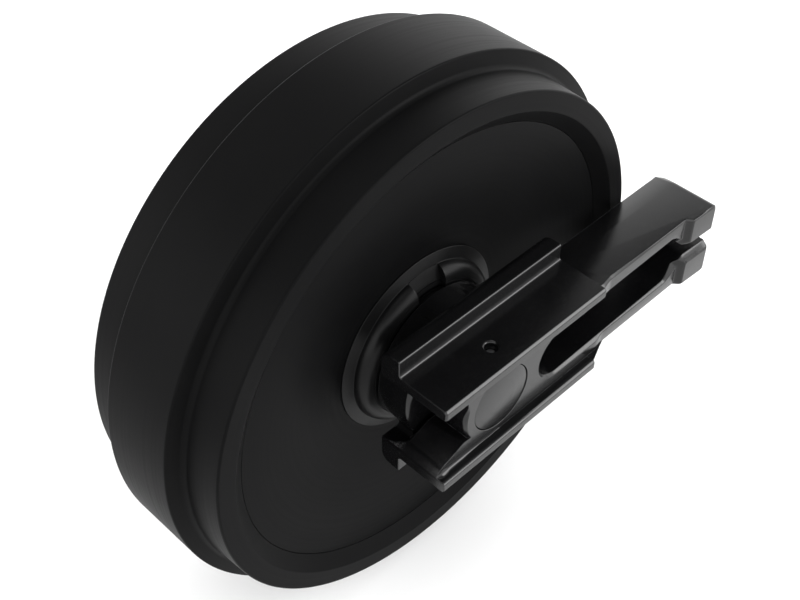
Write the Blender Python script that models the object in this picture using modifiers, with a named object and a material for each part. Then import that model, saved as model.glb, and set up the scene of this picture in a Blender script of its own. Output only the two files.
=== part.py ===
# Excavator front idler: a flanged wheel that turns on a fixed shaft between two forked guide brackets.
# The wheel turns about Y, the forks point along +X, and +Z is up. The origin is the wheel's centre.
# Lengths are in metres. "Outward" is the distance from the wheel's middle plane, towards either side.

import math

import bmesh
import bpy
from mathutils import Matrix, Vector

CLEARANCE = 0.0003
CUT_PAST = 0.002

# Rim: the centre flange runs between the chain's links, which roll on the two treads
FLANGE_RADIUS = 0.290
FLANGE_EDGE_OUTWARD = 0.0397
FLANGE_ROOT_OUTWARD = 0.0444
FLANGE_EDGE_ROUNDING = 0.002
FLANGE_ROOT_FILLET = 0.006
FLANGE_HEIGHT = 0.0167
TREAD_TAPER = 0.0017
TREAD_ROOT_RADIUS = FLANGE_RADIUS - FLANGE_HEIGHT
TREAD_EDGE_RADIUS = TREAD_ROOT_RADIUS - TREAD_TAPER
RIM_OUTWARD = 0.0865
RIM_EDGE_ROUNDING = 0.0025
RIM_WALL = 0.0236
RIM_BORE_RADIUS = TREAD_EDGE_RADIUS - RIM_WALL
RIM_MOUTH_FLARE = 0.0035
RIM_MOUTH_RADIUS = RIM_BORE_RADIUS + RIM_MOUTH_FLARE

# Hub tube, and the webs' seat in the rim
HUB_RADIUS = 0.074
HUB_OUTWARD = 0.0725
HUB_WAIST_DEPTH = 0.014
HUB_WAIST_OUTWARD = 0.030
HUB_LAND_OUTWARD = 0.036
HUB_LIP = 0.004
HUB_MOUTH_RADIUS = HUB_RADIUS - HUB_LIP
HUB_MOUTH_DEPTH = 0.0105
WEB_SEAT_STEP = 0.0107
WEB_SEAT_RADIUS = RIM_BORE_RADIUS - WEB_SEAT_STEP
WEB_SEAT_LAND = 0.004

# Collars welded round the hub's ends: a flat ring with a bead, open at the top
COLLAR_WIDTH = 0.0265
COLLAR_RADIUS = HUB_RADIUS + COLLAR_WIDTH
COLLAR_EDGE_OUTWARD = 0.0558
BEAD_WIDTH = 0.015
BEAD_FOOT_OUTWARD = 0.0592
BEAD_GAP_INNER_WIDTH = 0.0344
BEAD_GAP_OUTER_WIDTH = 0.038
BEAD_GAP_INNER_RADIUS = HUB_RADIUS - 1.5 * HUB_LIP
BEAD_GAP_LENGTH = 0.0176
BEAD_GAP_INNER_OUTWARD = 0.067
BEAD_GAP_OUTER_OUTWARD = 0.0605

# Webs: two dished discs between rim and hub
WEB_RIM_OUTWARD = 0.076
WEB_HUB_OUTWARD = 0.0542
WEB_THICKNESS = 0.014
WEB_FLAT_MARGIN = 0.0025
WEB_DISH_FILLET = 0.06

# Bearings and oil chamber
BUSHING_WALL = 0.0057
BUSHING_INNER_OUTWARD = 0.0205
BUSHING_SEAT_OUTWARD = 0.050
BUSHING_FLANGE_RADIUS = 0.0487
BUSHING_FLANGE_THICKNESS = 0.0024
OIL_CHAMBER_DEPTH = 0.004

# Face seals: two iron rings rub together, each held in a rubber toric
SEAL_OUTWARD = 0.066
SEAL_HOUSING_RADIUS = 0.0541
SEAL_RING_BORE_RADIUS = 0.041
SEAL_RING_RADIUS = 0.053
SEAL_SLEEVE_RADIUS = 0.046
SEAL_FACE_THICKNESS = 0.00385
SEAL_SLEEVE_LENGTH = 0.005

# Shaft
SHAFT_RADIUS = 0.0357
SHAFT_OUTWARD = 0.1622
SHAFT_CHAMFER = 0.001
ORING_OUTWARD = 0.098
ORING_SECTION_RADIUS = 0.0022
OIL_HOLE_OFFSET = 0.018
OIL_HOLE_RADIUS = 0.0045
OIL_CROSS_HOLE_RADIUS = 0.004
PLUG_RADIUS = 0.0077
PLUG_LENGTH = 0.0115
PLUG_SOCKET_RADIUS = 0.0042
PLUG_SOCKET_DEPTH = 0.006

# Lock pins through bracket and shaft
PIN_RADIUS = 0.0052
PIN_OUTWARD = 0.1459
PIN_HALF_LENGTH = 0.047
PIN_CHAMFER = 0.001
COUNTERSINK_RADIUS = 0.00825

# Bracket: guide rails above and below, with a rib along the wheel side
RAIL_FRONT = -0.086
RAIL_REAR = 0.1325
RAIL_HEIGHT = 0.05585
RAIL_UNDERSIDE = 0.0432
RAIL_OUTWARD = 0.173
RAIL_CHAMFER = 0.0024
RAIL_END_ROUNDING = 0.0012
RIB_INNER_OUTWARD = 0.092
RIB_OUTER_OUTWARD = 0.1154
RIB_HEIGHT = 0.075
RIB_ROUNDING = 0.012
RIB_EDGE_ROUNDING = 0.002
RIB_FILLET = 0.003

# Bracket: boss towards the wheel, with the seal housing in its nose
BOSS_INSET = 0.0004
BOSS_RADIUS = HUB_RADIUS - BOSS_INSET
BOSS_FRONT_OUTWARD = 0.075
BOSS_BACK_OUTWARD = RIB_OUTER_OUTWARD - CLEARANCE
BOSS_ROUNDING = 0.005
BOSS_FILLET = 0.0055
NOSE_GAP = 0.0033
NOSE_RADIUS = HUB_MOUTH_RADIUS - NOSE_GAP
NOSE_OUTWARD = 0.065
NOSE_CHAMFER = 0.001

# Bracket: web with a round eye in front and the fork behind
EYE_RADIUS = 0.049
EYE_FILLET = 0.022
EYE_ROOT_HEIGHT = 0.0545
EYE_EDGE_FADE_START = 0.006
EYE_EDGE_FADE_END = 0.024
WEB_OUTWARD = 0.163
WEB_HALF_HEIGHT = 0.0455
WEB_EDGE_WIDTH = 0.0028
WEB_EDGE_DROP = 0.003
ARM_INNER_OUTWARD = 0.095
ARM_OUTWARD = 0.1605
ARM_EDGE_DROP = 0.002
ARM_STEP_START = 0.142
ARM_STEP_END = 0.158
ARM_FACET_OUTWARD = 0.1176
ARM_FACET_DROP = 0.004
TIP_X = 0.319
TIP_ROUNDING = 0.006
TIP_OUTWARD = 0.169
TIP_STEP_OUTWARD = 0.1673
TIP_STEP_START = 0.275
TIP_STEP_END = 0.283

# Fork slot: round inside, narrowed by hooks at its mouth
SLOT_HALF_HEIGHT = 0.028
SLOT_CENTRE_X = 0.083
SLOT_CHAMFER = 0.0027
HOOK_HALF_GAP = 0.007
HOOK_CHAMFER = 0.0075
HOOK_START = 0.255
HOOK_END = 0.285

# Ramp that sheds soil from in front of the eye, as sections from the rail's front to under the eye. Each
# gives how far behind the front its inner and outer side lie, how high its top is at both, how high its outer
# wall's foot is, and how wide the foot and the skirt towards the wheel are.
RAMP_INNER_OUTWARD = 0.121
RAMP_OUTWARD = WEB_OUTWARD - CLEARANCE
RAMP_ROOT = 0.0004
RAMP_SECTIONS = (
    (0, 0, 0.0021, 0.0006, 0.0002, 0.001, 0.024),
    (0.0022, 0.0022, 0.0063, 0.0046, 0.0042, 0.005, 0.020),
    (0.0058, 0.0058, 0.0098, 0.0079, 0.0074, 0.0065, 0.015),
    (0.0148, 0.0148, 0.0136, 0.0116, 0.005, 0.005, 0.006),
    (0.0304, 0.0353, 0.0203, 0.0199, 0.0036, 0.0035, 0.0005),
    (0.048, 0.048, 0.0192, 0.0192, 0.0026, 0.0025, 0.0005),
    (0.0848, 0.0848, 0.0192, 0.0192, 0.0015, 0.0015, 0.0005),
)

# Facets of round pieces
WHEEL_STEPS = 60
COLLAR_STEPS = 48
BOSS_STEPS = 48
HUB_STEPS = 32
SEAL_STEPS = 20
SMALL_STEPS = 16
SECTION_STEPS = 6
BEAD_STEPS = 4

BLACK = ((0.022, 0.022, 0.023), 0.38, 0.0)
GLOSS_BLACK = ((0.02, 0.02, 0.021), 0.25, 0.0)
STEEL = ((0.42, 0.42, 0.44), 0.3, 1.0)
IRON = ((0.3, 0.3, 0.31), 0.25, 1.0)
BRONZE = ((0.55, 0.37, 0.16), 0.35, 1.0)
RUBBER = ((0.03, 0.03, 0.03), 0.8, 0.0)


def clear_scene():
    for old in list(bpy.data.objects):
        bpy.data.objects.remove(old, do_unlink=True)


def collection_named(name, hidden=False):
    collection = bpy.data.collections.new(name)
    bpy.context.scene.collection.children.link(collection)
    collection.hide_render = hidden
    return collection


def material_named(name, finish):
    colour, roughness, metallic = finish
    material = bpy.data.materials.new(name)
    material.use_nodes = True
    shader = material.node_tree.nodes["Principled BSDF"]
    shader.inputs["Base Color"].default_value = (*colour, 1.0)
    shader.inputs["Roughness"].default_value = roughness
    shader.inputs["Metallic"].default_value = metallic
    return material


def helper_object(name, mesh):
    """An object that only cuts or joins others."""
    helper = bpy.data.objects.new(name, mesh)
    cutters.objects.link(helper)
    helper.hide_render = True
    helper.display_type = "WIRE"
    return helper


def part_object(name, mesh, finish, body):
    """A named piece of the idler, with its own material, carried by the empty of its body."""
    piece = bpy.data.objects.new(name, mesh)
    idler.objects.link(piece)
    mesh.materials.clear()
    mesh.materials.append(material_named(name + "_finish", finish))
    piece.parent = body
    return piece


def mesh_from(name, bm):
    mesh = bpy.data.meshes.new(name)
    bm.to_mesh(mesh)
    bm.free()
    return mesh


def smooth(mesh):
    mesh.shade_smooth()
    mesh.set_sharp_from_angle(angle=math.radians(35))


def settled(obj):
    """The object's mesh with its modifiers applied, in the object's own frame."""
    bpy.context.view_layer.update()
    graph = bpy.context.evaluated_depsgraph_get()
    mesh = bpy.data.meshes.new_from_object(obj.evaluated_get(graph))
    obj.modifiers.clear()
    obj.data = mesh
    smooth(mesh)
    return mesh


def rounded(corners):
    """Outline points from corners (a, b) or (a, b, radius, parts): a radius makes the corner an arc."""
    points = []
    for index, corner in enumerate(corners):
        here = Vector(corner[:2])
        if len(corner) == 2:
            points.append(here)
            continue
        radius, parts = corner[2:]
        back = (Vector(corners[index - 1][:2]) - here).normalized()
        ahead = (Vector(corners[(index + 1) % len(corners)][:2]) - here).normalized()
        half = back.angle(ahead) / 2
        centre = here + (back + ahead).normalized() * radius / math.sin(half)
        start = here + back * radius / math.tan(half) - centre
        end = here + ahead * radius / math.tan(half) - centre
        sweep = math.atan2(start.cross(end), start.dot(end))
        points += [centre + Matrix.Rotation(sweep * k / parts, 2) @ start for k in range(parts + 1)]
    return points


def mirrored_outline(half):
    """The corners and their mirror image in the first coordinate's axis, as one closed outline."""
    return half + [(corner[0], -corner[1], *corner[2:]) for corner in reversed(half)]


def signed_area(points):
    pairs = zip(points, points[1:] + points[:1])
    return sum(a[0] * b[1] - b[0] * a[1] for a, b in pairs) / 2


def turned_mesh(name, corners, steps):
    """A ring or disc turned about its own Z, from corners (radius, height). A disc's ends lie on the axis."""
    points = rounded(corners)
    if signed_area(points) > 0:
        points.reverse()
    is_disc = min(point[0] for point in points) == 0
    while is_disc and not points[0][0] == points[-1][0] == 0:
        points.append(points.pop(0))
    edges = [(k, k + 1) for k in range(len(points) - 1)]
    if not is_disc:
        edges.append((len(points) - 1, 0))
    mesh = bpy.data.meshes.new(name)
    mesh.from_pydata([(radius, 0, height) for radius, height in points], edges, [])
    profile = bpy.data.objects.new(name, mesh)
    bpy.context.scene.collection.objects.link(profile)
    screw = profile.modifiers.new("turn", "SCREW")
    screw.axis = "Z"
    screw.steps = steps
    screw.render_steps = steps
    screw.use_merge_vertices = True
    screw.merge_threshold = 0.00001
    solid = settled(profile)
    bpy.data.objects.remove(profile)
    solid.name = name
    return solid


def faced(obj, side):
    """Lays a turned piece's axis along Y, facing its side: 1 is far and -1 is near."""
    obj.rotation_euler = (-math.pi / 2, 0, 0 if side > 0 else math.pi)
    return obj


def turned_pair(name, corners, finish, body, steps=HUB_STEPS):
    """The same turned piece on both sides of the wheel, from corners (radius, outward)."""
    mesh = turned_mesh(name, corners, steps)
    return [faced(part_object(f"{name}_{word}", mesh.copy(), finish, body), side) for word, side in SIDES]


def rod_mesh(name, radius, start, end, steps=SMALL_STEPS, end_radius=None):
    """A round bar or cone between two points."""
    start, end = Vector(start), Vector(end)
    turn = (end - start).to_track_quat("Z", "Y").to_matrix().to_4x4()
    bm = bmesh.new()
    bmesh.ops.create_cone(
        bm, cap_ends=True, segments=steps, radius1=radius,
        radius2=radius if end_radius is None else end_radius,
        depth=(end - start).length, matrix=Matrix.Translation((start + end) / 2) @ turn)
    return mesh_from(name, bm)


def boolean(obj, other, operation="DIFFERENCE"):
    modifier = obj.modifiers.new(operation.lower(), "BOOLEAN")
    modifier.operation = operation
    modifier.solver = "EXACT"
    modifier.object = other


def bevel_edges(bm, edges, width, parts=2):
    bmesh.ops.bevel(bm, geom=edges, offset=width, offset_type="OFFSET", segments=parts, profile=0.5,
                    affect="EDGES", clamp_overlap=True)


def ease(value, start, end, low, high):
    """Runs smoothly from low at start to high at end."""
    share = min(max((value - start) / (end - start), 0), 1)
    return low + (high - low) * share * share * (3 - 2 * share)


def make_wheel():
    rim_half = [
        (RIM_BORE_RADIUS, WEB_RIM_OUTWARD - WEB_THICKNESS - 3 * WEB_SEAT_LAND),
        (WEB_SEAT_RADIUS, WEB_RIM_OUTWARD - WEB_THICKNESS - WEB_SEAT_LAND),
        (WEB_SEAT_RADIUS, WEB_RIM_OUTWARD),
        (RIM_MOUTH_RADIUS, RIM_OUTWARD),
        (TREAD_EDGE_RADIUS, RIM_OUTWARD, RIM_EDGE_ROUNDING, 1),
        (TREAD_ROOT_RADIUS, FLANGE_ROOT_OUTWARD, FLANGE_ROOT_FILLET, 2),
        (FLANGE_RADIUS, FLANGE_EDGE_OUTWARD, FLANGE_EDGE_ROUNDING, 1),
    ]
    rim = turned_mesh("rim", mirrored_outline(rim_half), WHEEL_STEPS)
    faced(part_object("rim", rim, BLACK, wheel), 1)

    web_edge = WEB_SEAT_RADIUS - CLEARANCE
    web_bore = HUB_RADIUS + CLEARANCE
    dish = [
        (web_bore, WEB_HUB_OUTWARD),
        (COLLAR_RADIUS + WEB_FLAT_MARGIN, WEB_HUB_OUTWARD, WEB_DISH_FILLET, 1),
        (web_edge, WEB_RIM_OUTWARD),
    ]
    inside = [(corner[0], corner[1] - WEB_THICKNESS, *corner[2:]) for corner in reversed(dish)]
    turned_pair("web", dish + inside, BLACK, wheel, WHEEL_STEPS)
    make_hub()
    make_collars()


def make_hub():
    bushing_radius = SHAFT_RADIUS + CLEARANCE + BUSHING_WALL
    seat_radius = bushing_radius + CLEARANCE
    flange_floor = BUSHING_SEAT_OUTWARD + BUSHING_FLANGE_THICKNESS + 2 * CLEARANCE
    mouth_floor = HUB_OUTWARD - HUB_MOUTH_DEPTH
    half = [
        (seat_radius + OIL_CHAMBER_DEPTH, BUSHING_INNER_OUTWARD - OIL_CHAMBER_DEPTH),
        (seat_radius, BUSHING_INNER_OUTWARD),
        (seat_radius, BUSHING_SEAT_OUTWARD),
        (BUSHING_FLANGE_RADIUS + CLEARANCE, BUSHING_SEAT_OUTWARD),
        (BUSHING_FLANGE_RADIUS + CLEARANCE, flange_floor),
        (SEAL_HOUSING_RADIUS, flange_floor),
        (SEAL_HOUSING_RADIUS, mouth_floor),
        (HUB_MOUTH_RADIUS, mouth_floor),
        (HUB_MOUTH_RADIUS, HUB_OUTWARD),
        (HUB_RADIUS, HUB_OUTWARD),
        (HUB_RADIUS, HUB_LAND_OUTWARD),
        (HUB_RADIUS - HUB_WAIST_DEPTH, HUB_WAIST_OUTWARD),
    ]
    tube_mesh = turned_mesh("hub_tube", mirrored_outline(half), HUB_STEPS)
    tube = faced(part_object("hub_tube", tube_mesh, BLACK, wheel), 1)
    for word, side in SIDES:
        boolean(tube, bead_gap_cutter(f"hub_gap_{word}", side))
    settled(tube)

    bushing = [
        (SHAFT_RADIUS + CLEARANCE, BUSHING_INNER_OUTWARD),
        (bushing_radius, BUSHING_INNER_OUTWARD),
        (bushing_radius, BUSHING_SEAT_OUTWARD + CLEARANCE),
        (BUSHING_FLANGE_RADIUS, BUSHING_SEAT_OUTWARD + CLEARANCE),
        (BUSHING_FLANGE_RADIUS, BUSHING_SEAT_OUTWARD + CLEARANCE + BUSHING_FLANGE_THICKNESS),
        (SHAFT_RADIUS + CLEARANCE, BUSHING_SEAT_OUTWARD + CLEARANCE + BUSHING_FLANGE_THICKNESS),
    ]
    turned_pair("bushing", bushing, BRONZE, wheel)


def bead_gap_cutter(name, side):
    """The flat, sloping gap in the bead at the top, where the weld starts and stops."""
    slope = (BEAD_GAP_INNER_OUTWARD - BEAD_GAP_OUTER_OUTWARD) / BEAD_GAP_LENGTH
    taper = (BEAD_GAP_OUTER_WIDTH - BEAD_GAP_INNER_WIDTH) / BEAD_GAP_LENGTH / 2
    over = 2 * CUT_PAST
    bm = bmesh.new()
    for reach in (-over, BEAD_GAP_LENGTH + over):
        radius = BEAD_GAP_INNER_RADIUS + reach
        half_width = BEAD_GAP_INNER_WIDTH / 2 + taper * reach
        floor = BEAD_GAP_INNER_OUTWARD - slope * reach
        for x in (-half_width, half_width):
            for outward in (floor, HUB_OUTWARD + over):
                bm.verts.new((x, side * outward, radius))
    bmesh.ops.convex_hull(bm, input=bm.verts)
    return helper_object(name, mesh_from(name, bm))


def make_collars():
    """A flat ring that slopes up to a bead, whose section is a quarter of an ellipse."""
    bore = HUB_RADIUS + CLEARANCE
    foot = WEB_HUB_OUTWARD + CLEARANCE
    bead = []
    for k in range(BEAD_STEPS + 1):
        turn = math.pi / 2 * k / BEAD_STEPS
        radius = bore + (BEAD_WIDTH - CLEARANCE) * math.cos(turn)
        bead.append((radius, BEAD_FOOT_OUTWARD + (HUB_OUTWARD - BEAD_FOOT_OUTWARD) * math.sin(turn)))
    ring = [(bore, foot), (COLLAR_RADIUS, foot), (COLLAR_RADIUS, COLLAR_EDGE_OUTWARD)]
    collars = turned_pair("hub_collar", ring + bead, BLACK, wheel, COLLAR_STEPS)
    for collar, (word, side) in zip(collars, SIDES):
        boolean(collar, bead_gap_cutter(f"collar_gap_{word}", side))
        settled(collar)


def make_seals():
    """Each seal's two halves mirror each other in the plane where the iron rings rub."""
    face_gap = CLEARANCE / 2
    back = face_gap + SEAL_FACE_THICKNESS
    ring = [
        (SEAL_RING_BORE_RADIUS, face_gap),
        (SEAL_RING_RADIUS, face_gap),
        (SEAL_RING_RADIUS, back),
        (SEAL_SLEEVE_RADIUS, back),
        (SEAL_SLEEVE_RADIUS, back + SEAL_SLEEVE_LENGTH),
        (SEAL_RING_BORE_RADIUS, back + SEAL_SLEEVE_LENGTH),
    ]
    section_radius = (SEAL_HOUSING_RADIUS - SEAL_SLEEVE_RADIUS) / 2 - CLEARANCE
    toric_radius = (SEAL_HOUSING_RADIUS + SEAL_SLEEVE_RADIUS) / 2
    toric = circle_section(toric_radius, back + CLEARANCE + section_radius, section_radius)
    for half, direction, body in (("turning", -1, wheel), ("fixed", 1, carrier)):
        for name, corners, finish in (("seal_ring", ring, IRON), ("seal_toric", toric, RUBBER)):
            placed = [(radius, SEAL_OUTWARD + direction * height) for radius, height in corners]
            turned_pair(f"{name}_{half}", placed, finish, body, SEAL_STEPS)


def circle_section(radius, height, section_radius):
    """Corners of a round rubber ring's section."""
    turns = [2 * math.pi * k / SECTION_STEPS for k in range(SECTION_STEPS)]
    return [(radius + section_radius * math.cos(a), height + section_radius * math.sin(a)) for a in turns]


def make_shaft():
    groove_floor = SHAFT_RADIUS - 2 * ORING_SECTION_RADIUS - CLEARANCE
    groove_half_width = ORING_SECTION_RADIUS + 3 * CLEARANCE
    half = [
        (0, SHAFT_OUTWARD),
        (SHAFT_RADIUS - SHAFT_CHAMFER, SHAFT_OUTWARD),
        (SHAFT_RADIUS, SHAFT_OUTWARD - SHAFT_CHAMFER),
        (SHAFT_RADIUS, ORING_OUTWARD + groove_half_width),
        (groove_floor, ORING_OUTWARD + groove_half_width),
        (groove_floor, ORING_OUTWARD - groove_half_width),
        (SHAFT_RADIUS, ORING_OUTWARD - groove_half_width),
    ]
    shaft_mesh = turned_mesh("shaft", mirrored_outline(half), HUB_STEPS)
    shaft = faced(part_object("shaft", shaft_mesh, BLACK, carrier), 1)
    plug_seat = SHAFT_OUTWARD - PLUG_LENGTH - 2 * CLEARANCE
    past = SHAFT_OUTWARD + CUT_PAST
    through = SHAFT_RADIUS + CUT_PAST
    bores = [
        ("oil_passage", OIL_HOLE_RADIUS, (OIL_HOLE_OFFSET, -OIL_HOLE_RADIUS, 0), (OIL_HOLE_OFFSET, past, 0)),
        ("oil_cross_hole", OIL_CROSS_HOLE_RADIUS, (OIL_HOLE_OFFSET, 0, 0), (through, 0, 0)),
        ("plug_seat", PLUG_RADIUS + CLEARANCE, (OIL_HOLE_OFFSET, plug_seat, 0), (OIL_HOLE_OFFSET, past, 0)),
    ]
    for word, side in SIDES:
        low, high = (0, side * PIN_OUTWARD, -through), (0, side * PIN_OUTWARD, through)
        bores.append((f"shaft_pin_hole_{word}", PIN_RADIUS + CLEARANCE, low, high))
    for name, radius, start, end in bores:
        boolean(shaft, helper_object(name, rod_mesh(name, radius, start, end)))
    settled(shaft)

    oring = circle_section(SHAFT_RADIUS - ORING_SECTION_RADIUS, ORING_OUTWARD, ORING_SECTION_RADIUS)
    turned_pair("shaft_oring", oring, RUBBER, carrier)

    plug_end = plug_seat + CLEARANCE + PLUG_LENGTH
    plug_mesh = rod_mesh("oil_plug", PLUG_RADIUS, (0, 0, 0), (0, PLUG_LENGTH, 0))
    plug = part_object("oil_plug", plug_mesh, STEEL, carrier)
    plug.location = (OIL_HOLE_OFFSET, plug_end - PLUG_LENGTH, 0)
    socket_start = (OIL_HOLE_OFFSET, plug_end - PLUG_SOCKET_DEPTH, 0)
    socket = rod_mesh("plug_socket", PLUG_SOCKET_RADIUS, socket_start, (OIL_HOLE_OFFSET, past, 0), steps=6)
    boolean(plug, helper_object("plug_socket", socket))
    settled(plug)


def make_lock_pins():
    pin = [
        (0, PIN_HALF_LENGTH),
        (PIN_RADIUS - PIN_CHAMFER, PIN_HALF_LENGTH),
        (PIN_RADIUS, PIN_HALF_LENGTH - PIN_CHAMFER),
    ]
    for word, side in SIDES:
        mesh = turned_mesh("lock_pin", mirrored_outline(pin), SMALL_STEPS)
        part_object(f"lock_pin_{word}", mesh, STEEL, carrier).location = (0, side * PIN_OUTWARD, 0)


def face_outward(x):
    """How far outward the web and arm face lies: it steps in to the arm and swells at the tip."""
    face = ease(x, ARM_STEP_START, ARM_STEP_END, WEB_OUTWARD, ARM_OUTWARD)
    face += ease(x, TIP_STEP_START, TIP_STEP_END, 0, TIP_STEP_OUTWARD - ARM_OUTWARD)
    return face + max(x - TIP_STEP_END, 0) * (TIP_OUTWARD - TIP_STEP_OUTWARD) / (TIP_X - TIP_STEP_END)


def web_front(eye_parts=7, fillet_parts=6):
    """The web's front as (x, z): from the lower rail round the eye, then a fillet to the upper rail."""
    reach = EYE_RADIUS + EYE_FILLET
    fillet_z = RAIL_UNDERSIDE - EYE_FILLET
    fillet_x = -math.sqrt(reach ** 2 - fillet_z ** 2)
    start = -math.asin(WEB_HALF_HEIGHT / EYE_RADIUS)
    end = math.asin(fillet_z / reach)
    points = []
    for k in range(eye_parts + 1):
        turn = start + (end - start) * k / eye_parts
        points.append((-EYE_RADIUS * math.cos(turn), EYE_RADIUS * math.sin(turn)))
    for k in range(1, fillet_parts + 1):
        turn = -end + (math.pi / 2 + end) * k / fillet_parts
        points.append((fillet_x + EYE_FILLET * math.cos(turn), fillet_z + EYE_FILLET * math.sin(turn)))
    root_end = EYE_ROOT_HEIGHT - WEB_HALF_HEIGHT
    return points + [(fillet_x, EYE_ROOT_HEIGHT), (0, EYE_ROOT_HEIGHT), (root_end, WEB_HALF_HEIGHT)]


def fork_plate():
    """The web, its round eye and the two arms, before the slot is cut. Outward is +Y here."""
    tips = [(TIP_X, WEB_HALF_HEIGHT, TIP_ROUNDING, 3), (TIP_X, -WEB_HALF_HEIGHT, TIP_ROUNDING, 3)]
    bm = bmesh.new()
    base = bm.faces.new([bm.verts.new((x, ARM_INNER_OUTWARD, z)) for x, z in rounded(web_front() + tips)])
    grown = bmesh.ops.extrude_face_region(bm, geom=[base])["geom"]
    front = next(item for item in grown if isinstance(item, bmesh.types.BMFace))
    bmesh.ops.translate(bm, verts=front.verts, vec=(0, WEB_OUTWARD - ARM_INNER_OUTWARD, 0))
    bmesh.ops.recalc_face_normals(bm, faces=bm.faces)

    outline = {(round(vert.co.x, 6), round(vert.co.z, 6)) for vert in base.verts}
    bmesh.ops.inset_region(bm, faces=[front], thickness=WEB_EDGE_WIDTH, use_even_offset=True)
    bmesh.ops.inset_region(bm, faces=[base], thickness=ARM_FACET_DROP, use_even_offset=True)

    steps = 4
    stations = [ARM_STEP_START + (ARM_STEP_END - ARM_STEP_START) * k / steps for k in range(steps + 1)]
    stations += [TIP_STEP_START + (TIP_STEP_END - TIP_STEP_START) * k / steps for k in range(steps + 1)]
    for x in stations:
        everything = bm.verts[:] + bm.edges[:] + bm.faces[:]
        bmesh.ops.bisect_plane(bm, geom=everything, plane_co=(x, 0, 0), plane_no=(1, 0, 0))

    for vert in bm.verts:
        x, outward, z = vert.co
        on_edge = abs(z) > WEB_HALF_HEIGHT - 0.0001 or (round(x, 6), round(z, 6)) in outline
        if outward > WEB_OUTWARD - 0.0001:
            drop = ease(x, ARM_STEP_START, ARM_STEP_END, WEB_EDGE_DROP, ARM_EDGE_DROP)
            if x < 0:
                drop = ease(z, EYE_EDGE_FADE_START, EYE_EDGE_FADE_END, drop, 0)
            vert.co.y = face_outward(x) - (drop if on_edge else 0)
        elif on_edge:
            low_z = WEB_HALF_HEIGHT - TIP_ROUNDING
            low_outward = ARM_INNER_OUTWARD + ARM_FACET_DROP
            vert.co.y = ease(abs(z), low_z, WEB_HALF_HEIGHT, low_outward, ARM_FACET_OUTWARD)
    bmesh.ops.triangulate(bm, faces=bm.faces)
    return helper_object("fork_plate", mesh_from("fork_plate", bm))


def slot_half(parts=8, hook_parts=6):
    """Upper half of the slot's outline as (x, z, chamfer), from its round end to its mouth."""
    points = []
    for k in range(parts + 1):
        turn = math.pi / 2 * k / parts
        x = SLOT_CENTRE_X - SLOT_HALF_HEIGHT * math.cos(turn)
        points.append((x, SLOT_HALF_HEIGHT * math.sin(turn), SLOT_CHAMFER))
    for k in range(hook_parts + 1):
        x = HOOK_START + (HOOK_END - HOOK_START) * k / hook_parts
        height = ease(x, HOOK_START, HOOK_END, SLOT_HALF_HEIGHT, HOOK_HALF_GAP)
        points.append((x, height, ease(x, HOOK_START, HOOK_END, SLOT_CHAMFER, HOOK_CHAMFER)))
    points.append((TIP_X + 3 * CUT_PAST, HOOK_HALF_GAP, HOOK_CHAMFER))
    return points


def slot_cutter():
    """The slot's solid: straight through the arms, then flared by its chamfer at the outer face."""
    half = slot_half()
    outline = half + [(x, -z, chamfer) for x, z, chamfer in reversed(half[1:])]
    over = 0.75 * CUT_PAST
    rings = [[], [], [], []]
    for index, (x, z, chamfer) in enumerate(outline):
        before = Vector(outline[index - 1][:2]) if index else Vector((outline[1][0], -outline[1][1]))
        after = Vector(outline[(index + 1) % len(outline)][:2])
        along = (after - before).normalized()
        away = Vector((-along.y, along.x))
        if index in (len(half) - 1, len(half)):
            away = Vector((0, math.copysign(1, z)))
        flared = Vector((x, z)) + away * chamfer
        face = face_outward(flared.x)
        wide = flared + away * over
        rings[0].append((x, ARM_INNER_OUTWARD - 5 * CUT_PAST, z))
        rings[1].append((x, face - chamfer, z))
        rings[2].append((flared.x, face, flared.y))
        rings[3].append((wide.x, face + over, wide.y))
    bm = bmesh.new()
    loops = [[bm.verts.new(point) for point in ring] for ring in rings]
    for lower, upper in zip(loops, loops[1:]):
        for k in range(len(lower)):
            bm.faces.new((lower[k - 1], lower[k], upper[k], upper[k - 1]))
    bm.faces.new(loops[0])
    bm.faces.new(loops[-1])
    bmesh.ops.recalc_face_normals(bm, faces=bm.faces)
    bmesh.ops.triangulate(bm, faces=bm.faces)
    return helper_object("fork_slot", mesh_from("fork_slot", bm))


def guide_rail(word, up):
    """A guide flange with its rib: one section carried from the front to the rear, up or down."""
    section = rounded([
        (RIB_INNER_OUTWARD, RAIL_UNDERSIDE),
        (RIB_INNER_OUTWARD, RIB_HEIGHT, RIB_ROUNDING, 5),
        (RIB_OUTER_OUTWARD, RIB_HEIGHT, RIB_EDGE_ROUNDING, 2),
        (RIB_OUTER_OUTWARD, RAIL_HEIGHT, RIB_FILLET, 3),
        (RAIL_OUTWARD, RAIL_HEIGHT, RAIL_CHAMFER, 1),
        (RAIL_OUTWARD, RAIL_UNDERSIDE, RAIL_CHAMFER, 1),
    ])
    bm = bmesh.new()
    front = bm.faces.new([bm.verts.new((RAIL_FRONT, outward, up * z)) for outward, z in section])
    grown = bmesh.ops.extrude_face_region(bm, geom=[front])["geom"]
    rear = next(item for item in grown if isinstance(item, bmesh.types.BMFace))
    bmesh.ops.translate(bm, verts=rear.verts, vec=(RAIL_REAR - RAIL_FRONT, 0, 0))
    bmesh.ops.recalc_face_normals(bm, faces=bm.faces)
    bevel_edges(bm, list({*front.edges, *rear.edges}), RAIL_END_ROUNDING, parts=1)
    return helper_object(f"guide_rail_{word}", mesh_from(f"guide_rail_{word}", bm))


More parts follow.
